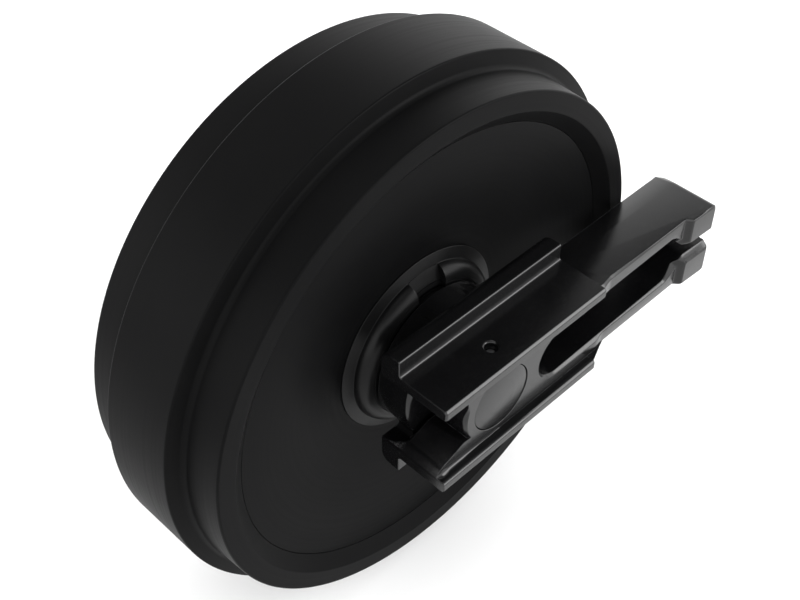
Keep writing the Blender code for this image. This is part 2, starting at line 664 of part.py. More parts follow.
def boss():
    """The round boss that faces the wheel, and the nose that reaches into the hub's mouth."""
    corners = [
        (0, NOSE_OUTWARD),
        (NOSE_RADIUS - NOSE_CHAMFER, NOSE_OUTWARD),
        (NOSE_RADIUS, NOSE_OUTWARD + NOSE_CHAMFER),
        (NOSE_RADIUS, BOSS_FRONT_OUTWARD),
        (BOSS_RADIUS - NOSE_CHAMFER, BOSS_FRONT_OUTWARD),
        (BOSS_RADIUS, BOSS_FRONT_OUTWARD + NOSE_CHAMFER),
        (BOSS_RADIUS, BOSS_BACK_OUTWARD, BOSS_ROUNDING, 4),
        (0, BOSS_BACK_OUTWARD),
    ]
    return faced(helper_object("boss", turned_mesh("boss", corners, BOSS_STEPS)), 1)


def boss_fillet(name, up, ahead, parts=4):
    """The concave fillet between the boss's round side and a rail, above or below it, in front or behind."""
    reach = BOSS_RADIUS + BOSS_FILLET
    centre_z = RAIL_UNDERSIDE - BOSS_FILLET
    centre_x = math.sqrt(reach ** 2 - centre_z ** 2)
    start = math.pi + math.atan2(centre_z, centre_x)
    section = []
    for k in range(parts + 1):
        turn = start + (math.pi / 2 - start) * k / parts
        section.append((centre_x + BOSS_FILLET * math.cos(turn), centre_z + BOSS_FILLET * math.sin(turn)))
    inside = math.sqrt(BOSS_RADIUS ** 2 - RAIL_UNDERSIDE ** 2) - CUT_PAST
    top = RAIL_UNDERSIDE + RAMP_ROOT
    section += [(centre_x, top), (inside, top), (inside, section[0][1])]
    bm = bmesh.new()
    start_outward = RIB_INNER_OUTWARD + CLEARANCE
    first = bm.faces.new([bm.verts.new((ahead * x, start_outward, up * z)) for x, z in section])
    grown = bmesh.ops.extrude_face_region(bm, geom=[first])["geom"]
    moved = [item for item in grown if isinstance(item, bmesh.types.BMVert)]
    length = BOSS_BACK_OUTWARD - BOSS_ROUNDING / 2 - RIB_INNER_OUTWARD
    bmesh.ops.translate(bm, verts=moved, vec=(0, length, 0))
    bmesh.ops.recalc_face_normals(bm, faces=bm.faces)
    return helper_object(name, mesh_from(name, bm))


def ramp():
    """The block on the lower rail: a slope up from the front to a ridge, and a land behind it under the eye."""
    front_x = RAIL_FRONT + RAIL_END_ROUNDING
    bm = bmesh.new()
    rings = []
    for inner_x, outer_x, inner_top, outer_top, foot, foot_width, skirt_width in RAMP_SECTIONS:
        section = [
            (inner_x, RAMP_INNER_OUTWARD - skirt_width, -RAMP_ROOT),
            (inner_x, RAMP_INNER_OUTWARD, inner_top),
            (outer_x, RAMP_OUTWARD, outer_top),
            (outer_x, RAMP_OUTWARD, foot),
            (outer_x, RAMP_OUTWARD + foot_width, -RAMP_ROOT),
        ]
        placed = [(front_x + x, outward, z - RAIL_UNDERSIDE) for x, outward, z in section]
        rings.append([bm.verts.new(point) for point in placed])
    for ring, after in zip(rings, rings[1:]):
        for k in range(len(ring)):
            bm.faces.new((ring[k - 1], ring[k], after[k], after[k - 1]))
    bm.faces.new(rings[0])
    bm.faces.new(rings[-1])
    bmesh.ops.recalc_face_normals(bm, faces=bm.faces)
    bmesh.ops.triangulate(bm, faces=bm.faces)
    return helper_object("ramp", mesh_from("ramp", bm))


def bracket_cutters():
    """Shaft bore, seal housing and lock pin hole with its countersinks."""
    bore_radius = SHAFT_RADIUS + CLEARANCE
    housing_depth = 2 * SEAL_OUTWARD - (BUSHING_SEAT_OUTWARD + BUSHING_FLANGE_THICKNESS + 2 * CLEARANCE)
    hole_radius = PIN_RADIUS + CLEARANCE
    mouth, past = NOSE_OUTWARD - CUT_PAST, WEB_OUTWARD + CUT_PAST
    bore = turned_mesh("shaft_bore", [
        (0, mouth), (SEAL_HOUSING_RADIUS, mouth), (SEAL_HOUSING_RADIUS, housing_depth),
        (bore_radius, housing_depth), (bore_radius, past), (0, past)], HUB_STEPS)
    over = CUT_PAST / 2
    pin_hole = turned_mesh("pin_hole", mirrored_outline([
        (0, RAIL_HEIGHT + over),
        (COUNTERSINK_RADIUS + over, RAIL_HEIGHT + over),
        (hole_radius, RAIL_HEIGHT + hole_radius - COUNTERSINK_RADIUS)]), SMALL_STEPS)
    hole = helper_object("pin_hole", pin_hole)
    hole.location = (0, PIN_OUTWARD, 0)
    return [faced(helper_object("shaft_bore", bore), 1), hole]


def make_brackets():
    plate = fork_plate()
    boolean(plate, slot_cutter())
    bm = bmesh.new()
    bm.from_mesh(settled(plate))
    bmesh.ops.remove_doubles(bm, verts=bm.verts, dist=CLEARANCE / 10)
    bmesh.ops.dissolve_degenerate(bm, edges=bm.edges, dist=CLEARANCE / 10)
    far = part_object("bracket_far", mesh_from("bracket_far", bm), GLOSS_BLACK, carrier)
    fillets = [
        boss_fillet("boss_fillet_upper_front", 1, -1), boss_fillet("boss_fillet_upper_rear", 1, 1),
        boss_fillet("boss_fillet_lower_front", -1, -1), boss_fillet("boss_fillet_lower_rear", -1, 1)]
    for other in (boss(), guide_rail("upper", 1), guide_rail("lower", -1), *fillets, ramp()):
        boolean(far, other, "UNION")
    for cutter in bracket_cutters():
        boolean(far, cutter)
    finish = far.data.materials[0]
    settled(far)
    far.data.materials.clear()
    far.data.materials.append(finish)

    bm = bmesh.new()
    bm.from_mesh(far.data)
    bmesh.ops.scale(bm, verts=bm.verts, vec=(1, -1, 1))
    bmesh.ops.reverse_faces(bm, faces=bm.faces)
    near_mesh = mesh_from("bracket_near", bm)
    smooth(near_mesh)
    part_object("bracket_near", near_mesh, GLOSS_BLACK, carrier)


SIDES = (("near", -1), ("far", 1))

clear_scene()
idler = collection_named("front_idler")
cutters = collection_named("cutters", hidden=True)
carrier = bpy.data.objects.new("carrier", None)
wheel = bpy.data.objects.new("wheel", None)
for frame in (carrier, wheel):
    idler.objects.link(frame)

make_wheel()
make_seals()
make_shaft()
make_lock_pins()
make_brackets()
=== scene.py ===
# Excavator front idler in a studio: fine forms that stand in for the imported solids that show, with black paint,
# light and camera. The main sizes repeat the solids' own, so one that is changed there has to be changed here
# too. Lengths are in metres, the shaft lies along Y, the forks point along +X and +Z is up. "outward" is the
# distance from the wheel's middle plane, to either side.
import math

import bmesh
import bpy
import numpy as np
from mathutils import Matrix


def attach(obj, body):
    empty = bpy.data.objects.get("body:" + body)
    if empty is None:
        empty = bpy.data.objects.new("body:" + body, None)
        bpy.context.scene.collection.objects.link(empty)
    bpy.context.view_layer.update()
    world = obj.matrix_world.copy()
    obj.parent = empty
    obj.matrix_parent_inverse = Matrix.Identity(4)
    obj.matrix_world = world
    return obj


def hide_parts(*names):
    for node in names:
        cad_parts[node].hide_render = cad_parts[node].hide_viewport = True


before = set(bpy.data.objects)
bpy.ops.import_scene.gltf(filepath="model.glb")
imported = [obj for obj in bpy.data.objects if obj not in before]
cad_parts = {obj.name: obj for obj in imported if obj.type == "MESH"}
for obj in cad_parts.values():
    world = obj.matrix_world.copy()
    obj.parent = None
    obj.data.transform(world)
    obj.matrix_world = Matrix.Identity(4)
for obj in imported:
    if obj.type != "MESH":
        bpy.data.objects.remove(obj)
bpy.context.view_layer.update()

scene = bpy.context.scene
sides = (("near", -1), ("far", 1))
clearance = 0.0003
print("frame loaded")


# Meshes from whole arrays

def meshFromGrid(name, grid, closedAlong=True, closedAcross=True):
    # a grid of points (rows, columns): each square of four neighbours becomes a face
    rows, columns = grid.shape[:2]
    index = np.arange(rows * columns).reshape(rows, columns)
    down = np.roll(index, -1, axis=0) if closedAlong else index[1:]
    here = index if closedAlong else index[:-1]
    if closedAcross:
        corners = (here, np.roll(here, -1, axis=1), np.roll(down, -1, axis=1), down)
    else:
        corners = (here[:, :-1], here[:, 1:], down[:, 1:], down[:, :-1])
    quads = np.stack(corners, axis=-1).reshape(-1, 4)
    mesh = bpy.data.meshes.new(name)
    mesh.from_pydata(grid.reshape(-1, 3).tolist(), [], quads.tolist())
    return mesh


def facesOutward(mesh, nearest=0.000002):
    # points nearer than the given distance become one, and every face turns outward
    bm = bmesh.new()
    bm.from_mesh(mesh)
    bmesh.ops.remove_doubles(bm, verts=bm.verts, dist=nearest)
    bmesh.ops.dissolve_degenerate(bm, edges=bm.edges, dist=nearest)
    bmesh.ops.recalc_face_normals(bm, faces=bm.faces)
    bm.to_mesh(mesh)
    bm.free()


def arcCorners(corners):
    # each corner (a, b) stays a point, and each (a, b, radius, parts) becomes an arc that touches both sides
    points = []
    for index, corner in enumerate(corners):
        here = np.array(corner[:2], float)
        if len(corner) == 2:
            points.append(here[None])
            continue
        radius, parts = corner[2:]
        back = np.array(corners[index - 1][:2], float) - here
        ahead = np.array(corners[(index + 1) % len(corners)][:2], float) - here
        back /= np.linalg.norm(back)
        ahead /= np.linalg.norm(ahead)
        half = math.acos(np.clip(back @ ahead, -1, 1)) / 2
        middle = (back + ahead) / np.linalg.norm(back + ahead)
        centre = here + middle * radius / math.sin(half)
        first = here + back * radius / math.tan(half) - centre
        last = here + ahead * radius / math.tan(half) - centre
        sweep = math.atan2(first[0] * last[1] - first[1] * last[0], first @ last)
        turn = np.linspace(0, sweep, parts + 1)[:, None]
        across, along = first
        points.append(centre + np.hstack([
            across * np.cos(turn) - along * np.sin(turn), across * np.sin(turn) + along * np.cos(turn)]))
    return np.vstack(points)


def bothHalves(half):
    return half + [(corner[0], -corner[1], *corner[2:]) for corner in reversed(half)]


def turnedMesh(name, corners, steps=160):
    # the profile (radius, outward) swept round Y: x = radius cos t, z = radius sin t, y = outward
    profile = arcCorners(corners)
    turn = np.linspace(0, 2 * math.pi, steps, endpoint=False)[:, None]
    radius, outward = profile[:, 0][None], profile[:, 1][None]
    grid = np.stack([radius * np.cos(turn), outward + 0 * turn, radius * np.sin(turn)], axis=-1)
    mesh = meshFromGrid(name, grid, closedAcross=profile[:, 0].min() > 0)
    facesOutward(mesh)
    return mesh


def rodMesh(name, radius, start, end, steps=48, endRadius=None):
    # two circles round the line from start to end, joined into a rod or cone with closed ends
    start, end = np.array(start, float), np.array(end, float)
    along = (end - start) / np.linalg.norm(end - start)
    side = np.cross(along, [1, 0, 0] if abs(along[0]) < 0.9 else [0, 1, 0])
    side /= np.linalg.norm(side)
    other = np.cross(along, side)
    turn = np.linspace(0, 2 * math.pi, steps, endpoint=False)[:, None]
    ring = np.cos(turn) * side + np.sin(turn) * other
    return ringStack(name, np.stack([start + ring * radius, end + ring * (endRadius or radius)]))


def ringStack(name, rings):
    # closed rings of equal count, joined one to the next and capped at both ends
    mesh = meshFromGrid(name, rings, closedAlong=False)
    bm = bmesh.new()
    bm.from_mesh(mesh)
    bm.verts.ensure_lookup_table()
    count = rings.shape[1]
    bm.faces.new(bm.verts[:count])
    bm.faces.new(bm.verts[len(bm.verts) - count:])
    bmesh.ops.recalc_face_normals(bm, faces=bm.faces)
    bm.to_mesh(mesh)
    bm.free()
    return mesh


def easeTo(value, start, end, low, high):
    # runs smoothly from low at start to high at end: 3s^2 - 2s^3
    share = np.clip((np.asarray(value, float) - start) / (end - start), 0, 1)
    return low + (high - low) * share * share * (3 - 2 * share)


# Objects, cuts and finishing

def newObject(name, mesh):
    made = bpy.data.objects.new(name, mesh)
    scene.collection.objects.link(made)
    return made


def splitFaces(mesh):
    # triangles are always flat, which exact cuts need
    bm = bmesh.new()
    bm.from_mesh(mesh)
    bmesh.ops.triangulate(bm, faces=bm.faces)
    bm.to_mesh(mesh)
    bm.free()
    return mesh


def combine(piece, others, operation="DIFFERENCE"):
    helpers = [newObject("helper", other) for other in others]
    for helper in helpers:
        modifier = piece.modifiers.new("combine", "BOOLEAN")
        modifier.operation = operation
        modifier.solver = "EXACT"
        modifier.object = helper
    applyModifiers(piece)
    for helper in helpers:
        bpy.data.objects.remove(helper)


def applyModifiers(piece):
    bpy.context.view_layer.update()
    graph = bpy.context.evaluated_depsgraph_get()
    mesh = bpy.data.meshes.new_from_object(piece.evaluated_get(graph))
    piece.modifiers.clear()
    piece.data = mesh


def softenEdges(piece, width, angle=28, segments=2, room=2.0):
    # joins the flat faces that booleans split, then rolls over the sharp edges. One that has a neighbour too
    # short for the roll stays sharp, so that few faces fold over there
    bm = bmesh.new()
    bm.from_mesh(piece.data)
    bmesh.ops.remove_doubles(bm, verts=bm.verts, dist=0.00002)
    bmesh.ops.dissolve_limit(bm, angle_limit=math.radians(0.6), verts=bm.verts, edges=bm.edges)
    weight = bm.edges.layers.float.new("bevel_weight_edge")
    for edge in bm.edges:
        shortest = min(other.calc_length() for vert in edge.verts for other in vert.link_edges)
        sharp = len(edge.link_faces) == 2 and edge.calc_face_angle() > math.radians(angle)
        edge[weight] = float(sharp and shortest > room * width)
    bm.to_mesh(piece.data)
    bm.free()
    bevel = piece.modifiers.new("softEdges", "BEVEL")
    bevel.width = width
    bevel.segments = segments
    bevel.limit_method = "WEIGHT"
    bevel.miter_outer = "MITER_ARC"
    bevel.use_clamp_overlap = False
    bevel.loop_slide = False
    applyModifiers(piece)


def finishPiece(piece, body, node, material, smoothAngle=40, flatFaces=False):
    piece.data.materials.clear()
    piece.data.materials.append(material)
    piece.data.polygons.foreach_set("material_index", np.zeros(len(piece.data.polygons), np.int32))
    piece.data.shade_smooth()
    piece.data.set_sharp_from_angle(angle=math.radians(smoothAngle))
    if flatFaces:
        weighted = piece.modifiers.new("flatFaces", "WEIGHTED_NORMAL")
        weighted.keep_sharp = True
        weighted.weight = 100
        applyModifiers(piece)
    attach(piece, body)
    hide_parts(node)
    return piece


# Shader node groups

def newGroup(name, inputs, outputs):
    group = bpy.data.node_groups.new(name, "ShaderNodeTree")
    for label, kind, value in inputs:
        socket = group.interface.new_socket(name=label, in_out="INPUT", socket_type=kind)
        if value is not None:
            socket.default_value = value
    for label, kind in outputs:
        group.interface.new_socket(name=label, in_out="OUTPUT", socket_type=kind)
    return group, group.nodes.new("NodeGroupInput").outputs, group.nodes.new("NodeGroupOutput").inputs


def addNode(tree, kind, settings=None, **links):
    # each link is an input's name (or its number after "at") with a value, or with the socket that feeds it
    node = tree.nodes.new(kind)
    for key, value in (settings or {}).items():
        setattr(node, key, value)
    for key, value in links.items():
        socket = node.inputs[int(key[2:])] if key.startswith("at") else node.inputs[key.replace("_", " ")]
        if isinstance(value, bpy.types.NodeSocket):
            tree.links.new(value, socket)
        else:
            socket.default_value = value
    return node


def mathNode(tree, operation, first, second=0.0):
    return addNode(tree, "ShaderNodeMath", {"operation": operation}, at0=first, at1=second).outputs[0]


def noiseNode(tree, vector, scale, detail=3.0, roughness=0.5):
    return addNode(tree, "ShaderNodeTexNoise", Vector=vector, Scale=scale, Detail=detail,
                   Roughness=roughness).outputs[0]


def rangeNode(tree, value, low, high, newLow=0.0, newHigh=1.0):
    return addNode(tree, "ShaderNodeMapRange", Value=value, From_Min=low, From_Max=high, To_Min=newLow,
                   To_Max=newHigh).outputs[0]


def mixColour(tree, share, first, second):
    return addNode(tree, "ShaderNodeMix", {"data_type": "RGBA"}, at0=share, at6=first, at7=second).outputs[2]


def buildPaintFilm():
    # sprayed paint: fine orange peel, broad patches of thicker and thinner paint, and small dry specks
    group, source, sink = newGroup("paintFilm", [
        ("Vector", "NodeSocketVector", None), ("Paint", "NodeSocketColor", (0.02, 0.02, 0.02, 1)),
        ("Thin", "NodeSocketColor", (0.04, 0.04, 0.04, 1)), ("Peel Scale", "NodeSocketFloat", 700.0),
        ("Patch Scale", "NodeSocketFloat", 9.0), ("Roughness", "NodeSocketFloat", 0.4),
        ("Roughness Spread", "NodeSocketFloat", 0.08)], [
        ("Colour", "NodeSocketColor"), ("Roughness", "NodeSocketFloat"), ("Height", "NodeSocketFloat")])
    vector = source["Vector"]
    patches = noiseNode(group, vector, source["Patch Scale"], 4.0, 0.6)
    specks = rangeNode(group, noiseNode(group, vector, 1800.0, 1.0), 0.68, 0.78)
    halfSpecks = mathNode(group, "MULTIPLY", specks, 0.5)
    share = mathNode(group, "MAXIMUM", rangeNode(group, patches, 0.35, 0.75), halfSpecks)
    group.links.new(mixColour(group, share, source["Paint"], source["Thin"]), sink["Colour"])
    uneven = mathNode(group, "SUBTRACT", patches, 0.5)
    offset = mathNode(group, "MULTIPLY", uneven, source["Roughness Spread"])
    drySpecks = mathNode(group, "MULTIPLY", specks, 0.12)
    rough = mathNode(group, "ADD", mathNode(group, "ADD", source["Roughness"], offset), drySpecks)
    group.links.new(rough, sink["Roughness"])
    group.links.new(noiseNode(group, vector, source["Peel Scale"], 2.0, 0.45), sink["Height"])
    return group


def buildCastGrain():
    # sand casting under the paint: rounded grains a few millimetres across, with shallow dips between
    group, source, sink = newGroup("castGrain", [
        ("Vector", "NodeSocketVector", None), ("Grain Scale", "NodeSocketFloat", 420.0),
        ("Amount", "NodeSocketFloat", 1.0)], [("Height", "NodeSocketFloat"), ("Dips", "NodeSocketFloat")])
    grains = addNode(group, "ShaderNodeTexVoronoi", {"feature": "SMOOTH_F1"}, Vector=source["Vector"],
                     Scale=source["Grain Scale"], Smoothness=0.8).outputs[0]
    waves = noiseNode(group, source["Vector"], 60.0, 3.0)
    height = mathNode(group, "ADD", mathNode(group, "MULTIPLY", grains, 0.5), waves)
    group.links.new(mathNode(group, "MULTIPLY", height, source["Amount"]), sink["Height"])
    group.links.new(rangeNode(group, grains, 0.45, 0.8), sink["Dips"])
    return group


def buildTurningMarks():
    # the lathe's fine rings on what is turned about Y, as lines across its profile
    group, source, sink = newGroup("turningMarks", [
        ("Vector", "NodeSocketVector", None), ("Spacing", "NodeSocketFloat", 0.0012)], [
        ("Height", "NodeSocketFloat"), ("Streaks", "NodeSocketFloat")])
    axes = addNode(group, "ShaderNodeSeparateXYZ", Vector=source["Vector"])
    flat = addNode(group, "ShaderNodeCombineXYZ", X=axes.outputs[0], Z=axes.outputs[2])
    radius = addNode(group, "ShaderNodeVectorMath", {"operation": "LENGTH"},
                     at0=flat.outputs[0]).outputs["Value"]
    across = mathNode(group, "ADD", radius, axes.outputs[1])
    lines = mathNode(group, "SINE", mathNode(group, "DIVIDE", mathNode(group, "MULTIPLY", across, math.tau),
                                             source["Spacing"]))
    uneven = addNode(group, "ShaderNodeTexNoise", {"noise_dimensions": "1D"}, W=across, Scale=260.0,
                     Detail=3.0)
    streaks = uneven.outputs[0]
    group.links.new(mathNode(group, "ADD", mathNode(group, "MULTIPLY", lines, 0.3), streaks), sink["Height"])
    group.links.new(rangeNode(group, streaks, 0.4, 0.65), sink["Streaks"])
    return group


def buildEdgeHighlight():
    # painted highlight along edges: the mask is where the rounded normal leaves the face's own, where a paler
    # colour stands in for light catching the edge
    group, source, sink = newGroup("edgeHighlight", [
        ("Vector", "NodeSocketVector", None), ("Reach", "NodeSocketFloat", 0.001),
        ("Strength", "NodeSocketFloat", 0.5)], [("Mask", "NodeSocketFloat")])
    rounded = addNode(group, "ShaderNodeBevel", {"samples": 4}, Radius=source["Reach"]).outputs[0]
    flat = addNode(group, "ShaderNodeNewGeometry").outputs["Normal"]
    match = addNode(group, "ShaderNodeVectorMath", {"operation": "DOT_PRODUCT"}, at0=rounded,
                    at1=flat).outputs["Value"]
    edge = rangeNode(group, match, 0.995, 0.9)
    broken = rangeNode(group, noiseNode(group, source["Vector"], 240.0, 4.0, 0.65), 0.35, 0.7)
    mask = mathNode(group, "MULTIPLY", mathNode(group, "MULTIPLY", edge, broken), source["Strength"])
    group.links.new(mask, sink["Mask"])
    return group


groups = {"paintFilm": buildPaintFilm(), "castGrain": buildCastGrain(), "turningMarks": buildTurningMarks(),
          "edgeHighlight": buildEdgeHighlight()}
print("node groups built")


def newMaterial(name):
    material = bpy.data.materials.new(name)
    material.use_nodes = True
    tree = material.node_tree
    place = tree.nodes.new("ShaderNodeTexCoord").outputs["Object"]
    return material, tree, tree.nodes["Principled BSDF"], place


def useGroup(tree, name, **links):
    return addNode(tree, "ShaderNodeGroup", {"node_tree": groups[name]}, **links).outputs


def paintedMetal(name, finish):
    # black paint over metal, with a painted highlight in a paler colour along the edges, and the film's bump over
    # that of the casting grain or of the turning marks
    material, tree, shader, place = newMaterial(name)
    film = useGroup(tree, "paintFilm", Vector=place, Paint=(*finish["paint"], 1), Thin=(*finish["thin"], 1),
                    Peel_Scale=finish["peelScale"], Patch_Scale=finish["patchScale"],
                    Roughness=finish["roughness"], Roughness_Spread=finish["roughnessSpread"])
    edge = useGroup(tree, "edgeHighlight", Vector=place, Reach=finish["edgeHighlightReach"],
                    Strength=finish["edgeHighlightStrength"])
    # painted highlight: the paler edge colour is mixed in where the edge mask is
    colour = mixColour(tree, edge["Mask"], film["Colour"], (*finish["edgeHighlightColour"], 1))
    tree.links.new(colour, shader.inputs["Base Color"])
    if finish["under"] == "cast":
        under = useGroup(tree, "castGrain", Vector=place, Grain_Scale=finish["underScale"])
        roughAdd = mathNode(tree, "MULTIPLY", under["Dips"], 0.05)
    else:
        under = useGroup(tree, "turningMarks", Vector=place, Spacing=finish["underScale"])
        roughAdd = mathNode(tree, "MULTIPLY", under["Streaks"], 0.04)
    tree.links.new(mathNode(tree, "ADD", film["Roughness"], roughAdd), shader.inputs["Roughness"])
    deep = addNode(tree, "ShaderNodeBump", Height=under["Height"], Distance=finish["underDepth"])
    fine = addNode(tree, "ShaderNodeBump", Height=film["Height"], Distance=finish["peelDepth"],
                   Normal=deep.outputs[0])
    tree.links.new(fine.outputs[0], shader.inputs["Normal"])
    shader.inputs["Specular IOR Level"].default_value = finish["specular"]
    return material


# each finish's edge colour, strength and reach set the painted highlight along its edges; the shaft's is weaker
wheelPaint = {
    "paint": (0.002, 0.002, 0.0021), "thin": (0.003, 0.003, 0.0031), "peelScale": 650.0, "patchScale": 7.0,
    "roughness": 0.42, "roughnessSpread": 0.06, "edgeHighlightReach": 0.0015, "edgeHighlightStrength": 0.03,
    "edgeHighlightColour": (0.03, 0.03, 0.031), "under": "turned", "underScale": 0.0016, "underDepth": 0.000006,
    "peelDepth": 0.00003, "specular": 0.035}
bracketPaint = {
    "paint": (0.002, 0.002, 0.0022), "thin": (0.0035, 0.0035, 0.0037), "peelScale": 520.0, "patchScale": 14.0,
    "roughness": 0.2, "roughnessSpread": 0.05, "edgeHighlightReach": 0.001, "edgeHighlightStrength": 0.5,
    "edgeHighlightColour": (0.2, 0.2, 0.205), "under": "cast", "underScale": 300.0, "underDepth": 0.000015,
    "peelDepth": 0.00002, "specular": 0.34}
shaftPaint = dict(bracketPaint, under="turned", underScale=0.0012, underDepth=0.000004, patchScale=20.0,
                  edgeHighlightStrength=0.1)
collarPaint = dict(wheelPaint, specular=0.12, roughness=0.32)

wheelBlack = paintedMetal("wheelSatinBlack", wheelPaint)
bracketBlack = paintedMetal("bracketGlossBlack", bracketPaint)
shaftBlack = paintedMetal("shaftGlossBlack", shaftPaint)
collarBlack = paintedMetal("collarSatinBlack", collarPaint)


def bareMetal(name, finish):
    # bare metal: the turning marks change its colour, roughness and bump
    material, tree, shader, place = newMaterial(name)
    marks = useGroup(tree, "turningMarks", Vector=place, Spacing=finish["spacing"])
    cloud = rangeNode(tree, noiseNode(tree, place, 90.0, 4.0), 0.3, 0.75)
    share = mathNode(tree, "MULTIPLY", mathNode(tree, "ADD", cloud, marks["Streaks"]), 0.5)
    colour = mixColour(tree, share, (*finish["bright"], 1), (*finish["dull"], 1))
    tree.links.new(colour, shader.inputs["Base Color"])
    rough = mathNode(tree, "ADD", mathNode(tree, "MULTIPLY", share, 0.2), finish["roughness"])
    tree.links.new(rough, shader.inputs["Roughness"])
    shader.inputs["Metallic"].default_value = 1.0
    bump = addNode(tree, "ShaderNodeBump", Height=marks["Height"], Distance=finish["markDepth"])
    tree.links.new(bump.outputs[0], shader.inputs["Normal"])
    return material


def sealRubber(name, finish):
    # matt rubber: fine grain in the bump, and a paler, duller bloom in patches
    material, tree, shader, place = newMaterial(name)
    grain = noiseNode(tree, place, 900.0, 3.0, 0.6)
    bloom = rangeNode(tree, noiseNode(tree, place, 60.0, 4.0), 0.45, 0.75)
    colour = mixColour(tree, bloom, (*finish["dark"], 1), (*finish["bloom"], 1))
    tree.links.new(colour, shader.inputs["Base Color"])
    tree.links.new(rangeNode(tree, bloom, 0.0, 1.0, *finish["roughness"]), shader.inputs["Roughness"])
    bump = addNode(tree, "ShaderNodeBump", Height=grain, Distance=finish["grainDepth"])
    tree.links.new(bump.outputs[0], shader.inputs["Normal"])
    return material


metals = {
    "pinSteel": {"bright": (0.36, 0.36, 0.37), "dull": (0.2, 0.2, 0.21), "roughness": 0.25,
                 "spacing": 0.0006, "markDepth": 0.00002},
    "sealIron": {"bright": (0.3, 0.3, 0.31), "dull": (0.16, 0.16, 0.165), "roughness": 0.16,
                 "spacing": 0.0008, "markDepth": 0.00002},
    "bearingBronze": {"bright": (0.56, 0.36, 0.15), "dull": (0.38, 0.23, 0.1), "roughness": 0.28,
                      "spacing": 0.0009, "markDepth": 0.00002}}
metalMaterials = {name: bareMetal(name, finish) for name, finish in metals.items()}
rubberFinish = {"dark": (0.018, 0.018, 0.019), "bloom": (0.035, 0.034, 0.033), "roughness": (0.5, 0.72),
                "grainDepth": 0.00003}
rubberMaterial = sealRubber("sealRubber", rubberFinish)

hiddenFinishes = {
    "bushing": metalMaterials["bearingBronze"], "seal_ring_turning": metalMaterials["sealIron"],
    "seal_ring_fixed": metalMaterials["sealIron"], "seal_toric_turning": rubberMaterial,
    "seal_toric_fixed": rubberMaterial, "shaft_oring": rubberMaterial}
for piece, material in hiddenFinishes.items():
    for word, side in sides:
        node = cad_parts[f"{piece}_{word}"]
        node.data.materials.clear()
        node.data.materials.append(material)
print("materials built")


# The wheel

rimForm = {
    "flangeRadius": 0.290, "flangeEdge": 0.0397, "flangeRoot": 0.0444, "flangeRounding": 0.002,
    "rootFillet": 0.006, "treadRoot": 0.2733, "treadEdge": 0.2716, "outward": 0.0865, "edgeRounding": 0.0025,
    "mouthRadius": 0.2515, "mouthRounding": 0.0022, "boreRadius": 0.248, "seatRadius": 0.2373,
    "seatRounding": 0.0006, "seatOutward": 0.076, "seatDepth": 0.018, "boreOutward": 0.050, "steps": 240}


def makeRim(form):
    half = [
        (form["boreRadius"], form["boreOutward"]),
        (form["seatRadius"], form["seatOutward"] - form["seatDepth"]),
        (form["seatRadius"], form["seatOutward"], form["seatRounding"], 2),
        (form["mouthRadius"], form["outward"], form["mouthRounding"], 5),
        (form["treadEdge"], form["outward"], form["edgeRounding"], 6),
        (form["treadRoot"], form["flangeRoot"], form["rootFillet"], 8),
        (form["flangeRadius"], form["flangeEdge"], form["flangeRounding"], 5),
    ]
    rim = newObject("rimForged", turnedMesh("rimForged", bothHalves(half), form["steps"]))
    return finishPiece(rim, "wheel", "rim", wheelBlack, flatFaces=True)


webForm = {
    "edgeRadius": 0.2373, "rimOutward": 0.076, "hubOutward": 0.0542, "thickness": 0.014, "flatRadius": 0.103,
    "dishFillet": 0.06, "edgeRounding": 0.0008, "boreRadius": 0.074, "steps": 200}


def makeWebs(form):
    dish = [
        (form["boreRadius"] + clearance, form["hubOutward"]),
        (form["flatRadius"], form["hubOutward"], form["dishFillet"], 8),
        (form["edgeRadius"] - clearance, form["rimOutward"], form["edgeRounding"], 2),
    ]
    inside = [(corner[0], corner[1] - form["thickness"], *corner[2:]) for corner in reversed(dish)]
    for word, side in sides:
        corners = [(corner[0], side * corner[1], *corner[2:]) for corner in dish + inside]
        web = newObject(f"webDish_{word}", turnedMesh(f"webDish_{word}", corners, form["steps"]))
        finishPiece(web, "wheel", f"web_{word}", wheelBlack)


collarForm = {
    "boreRadius": 0.074, "radius": 0.1005, "edgeOutward": 0.0558, "foot": 0.0542, "beadRadius": 0.089,
    "beadFoot": 0.0592, "beadTop": 0.0725, "beadParts": 12, "steps": 160, "gapInnerWidth": 0.0344,
    "gapOuterWidth": 0.038, "gapInnerRadius": 0.068, "gapOuterRadius": 0.0856, "gapInnerOutward": 0.067,
    "gapOuterOutward": 0.0605, "gapPast": 0.004, "edgeRounding": 0.0006, "softEdge": 0.0005}


def beadGap(form, side):
    # four corners at a small and a large radius: the floor follows the gap's slope, the width its taper
    reach = form["gapOuterRadius"] - form["gapInnerRadius"]
    slope = (form["gapInnerOutward"] - form["gapOuterOutward"]) / reach
    taper = (form["gapOuterWidth"] - form["gapInnerWidth"]) / reach / 2
    past = form["gapPast"]
    radius = np.array([form["gapInnerRadius"] - past, form["gapOuterRadius"] + past])
    out = radius - form["gapInnerRadius"]
    halfWidth = form["gapInnerWidth"] / 2 + taper * out
    floor = form["gapInnerOutward"] - slope * out
    top = np.full(2, form["beadTop"] + past)
    rings = np.stack([
        np.stack([-halfWidth, side * floor, radius], -1), np.stack([halfWidth, side * floor, radius], -1),
        np.stack([halfWidth, side * top, radius], -1), np.stack([-halfWidth, side * top, radius], -1)],
        axis=1)
    return ringStack("beadGap", rings)


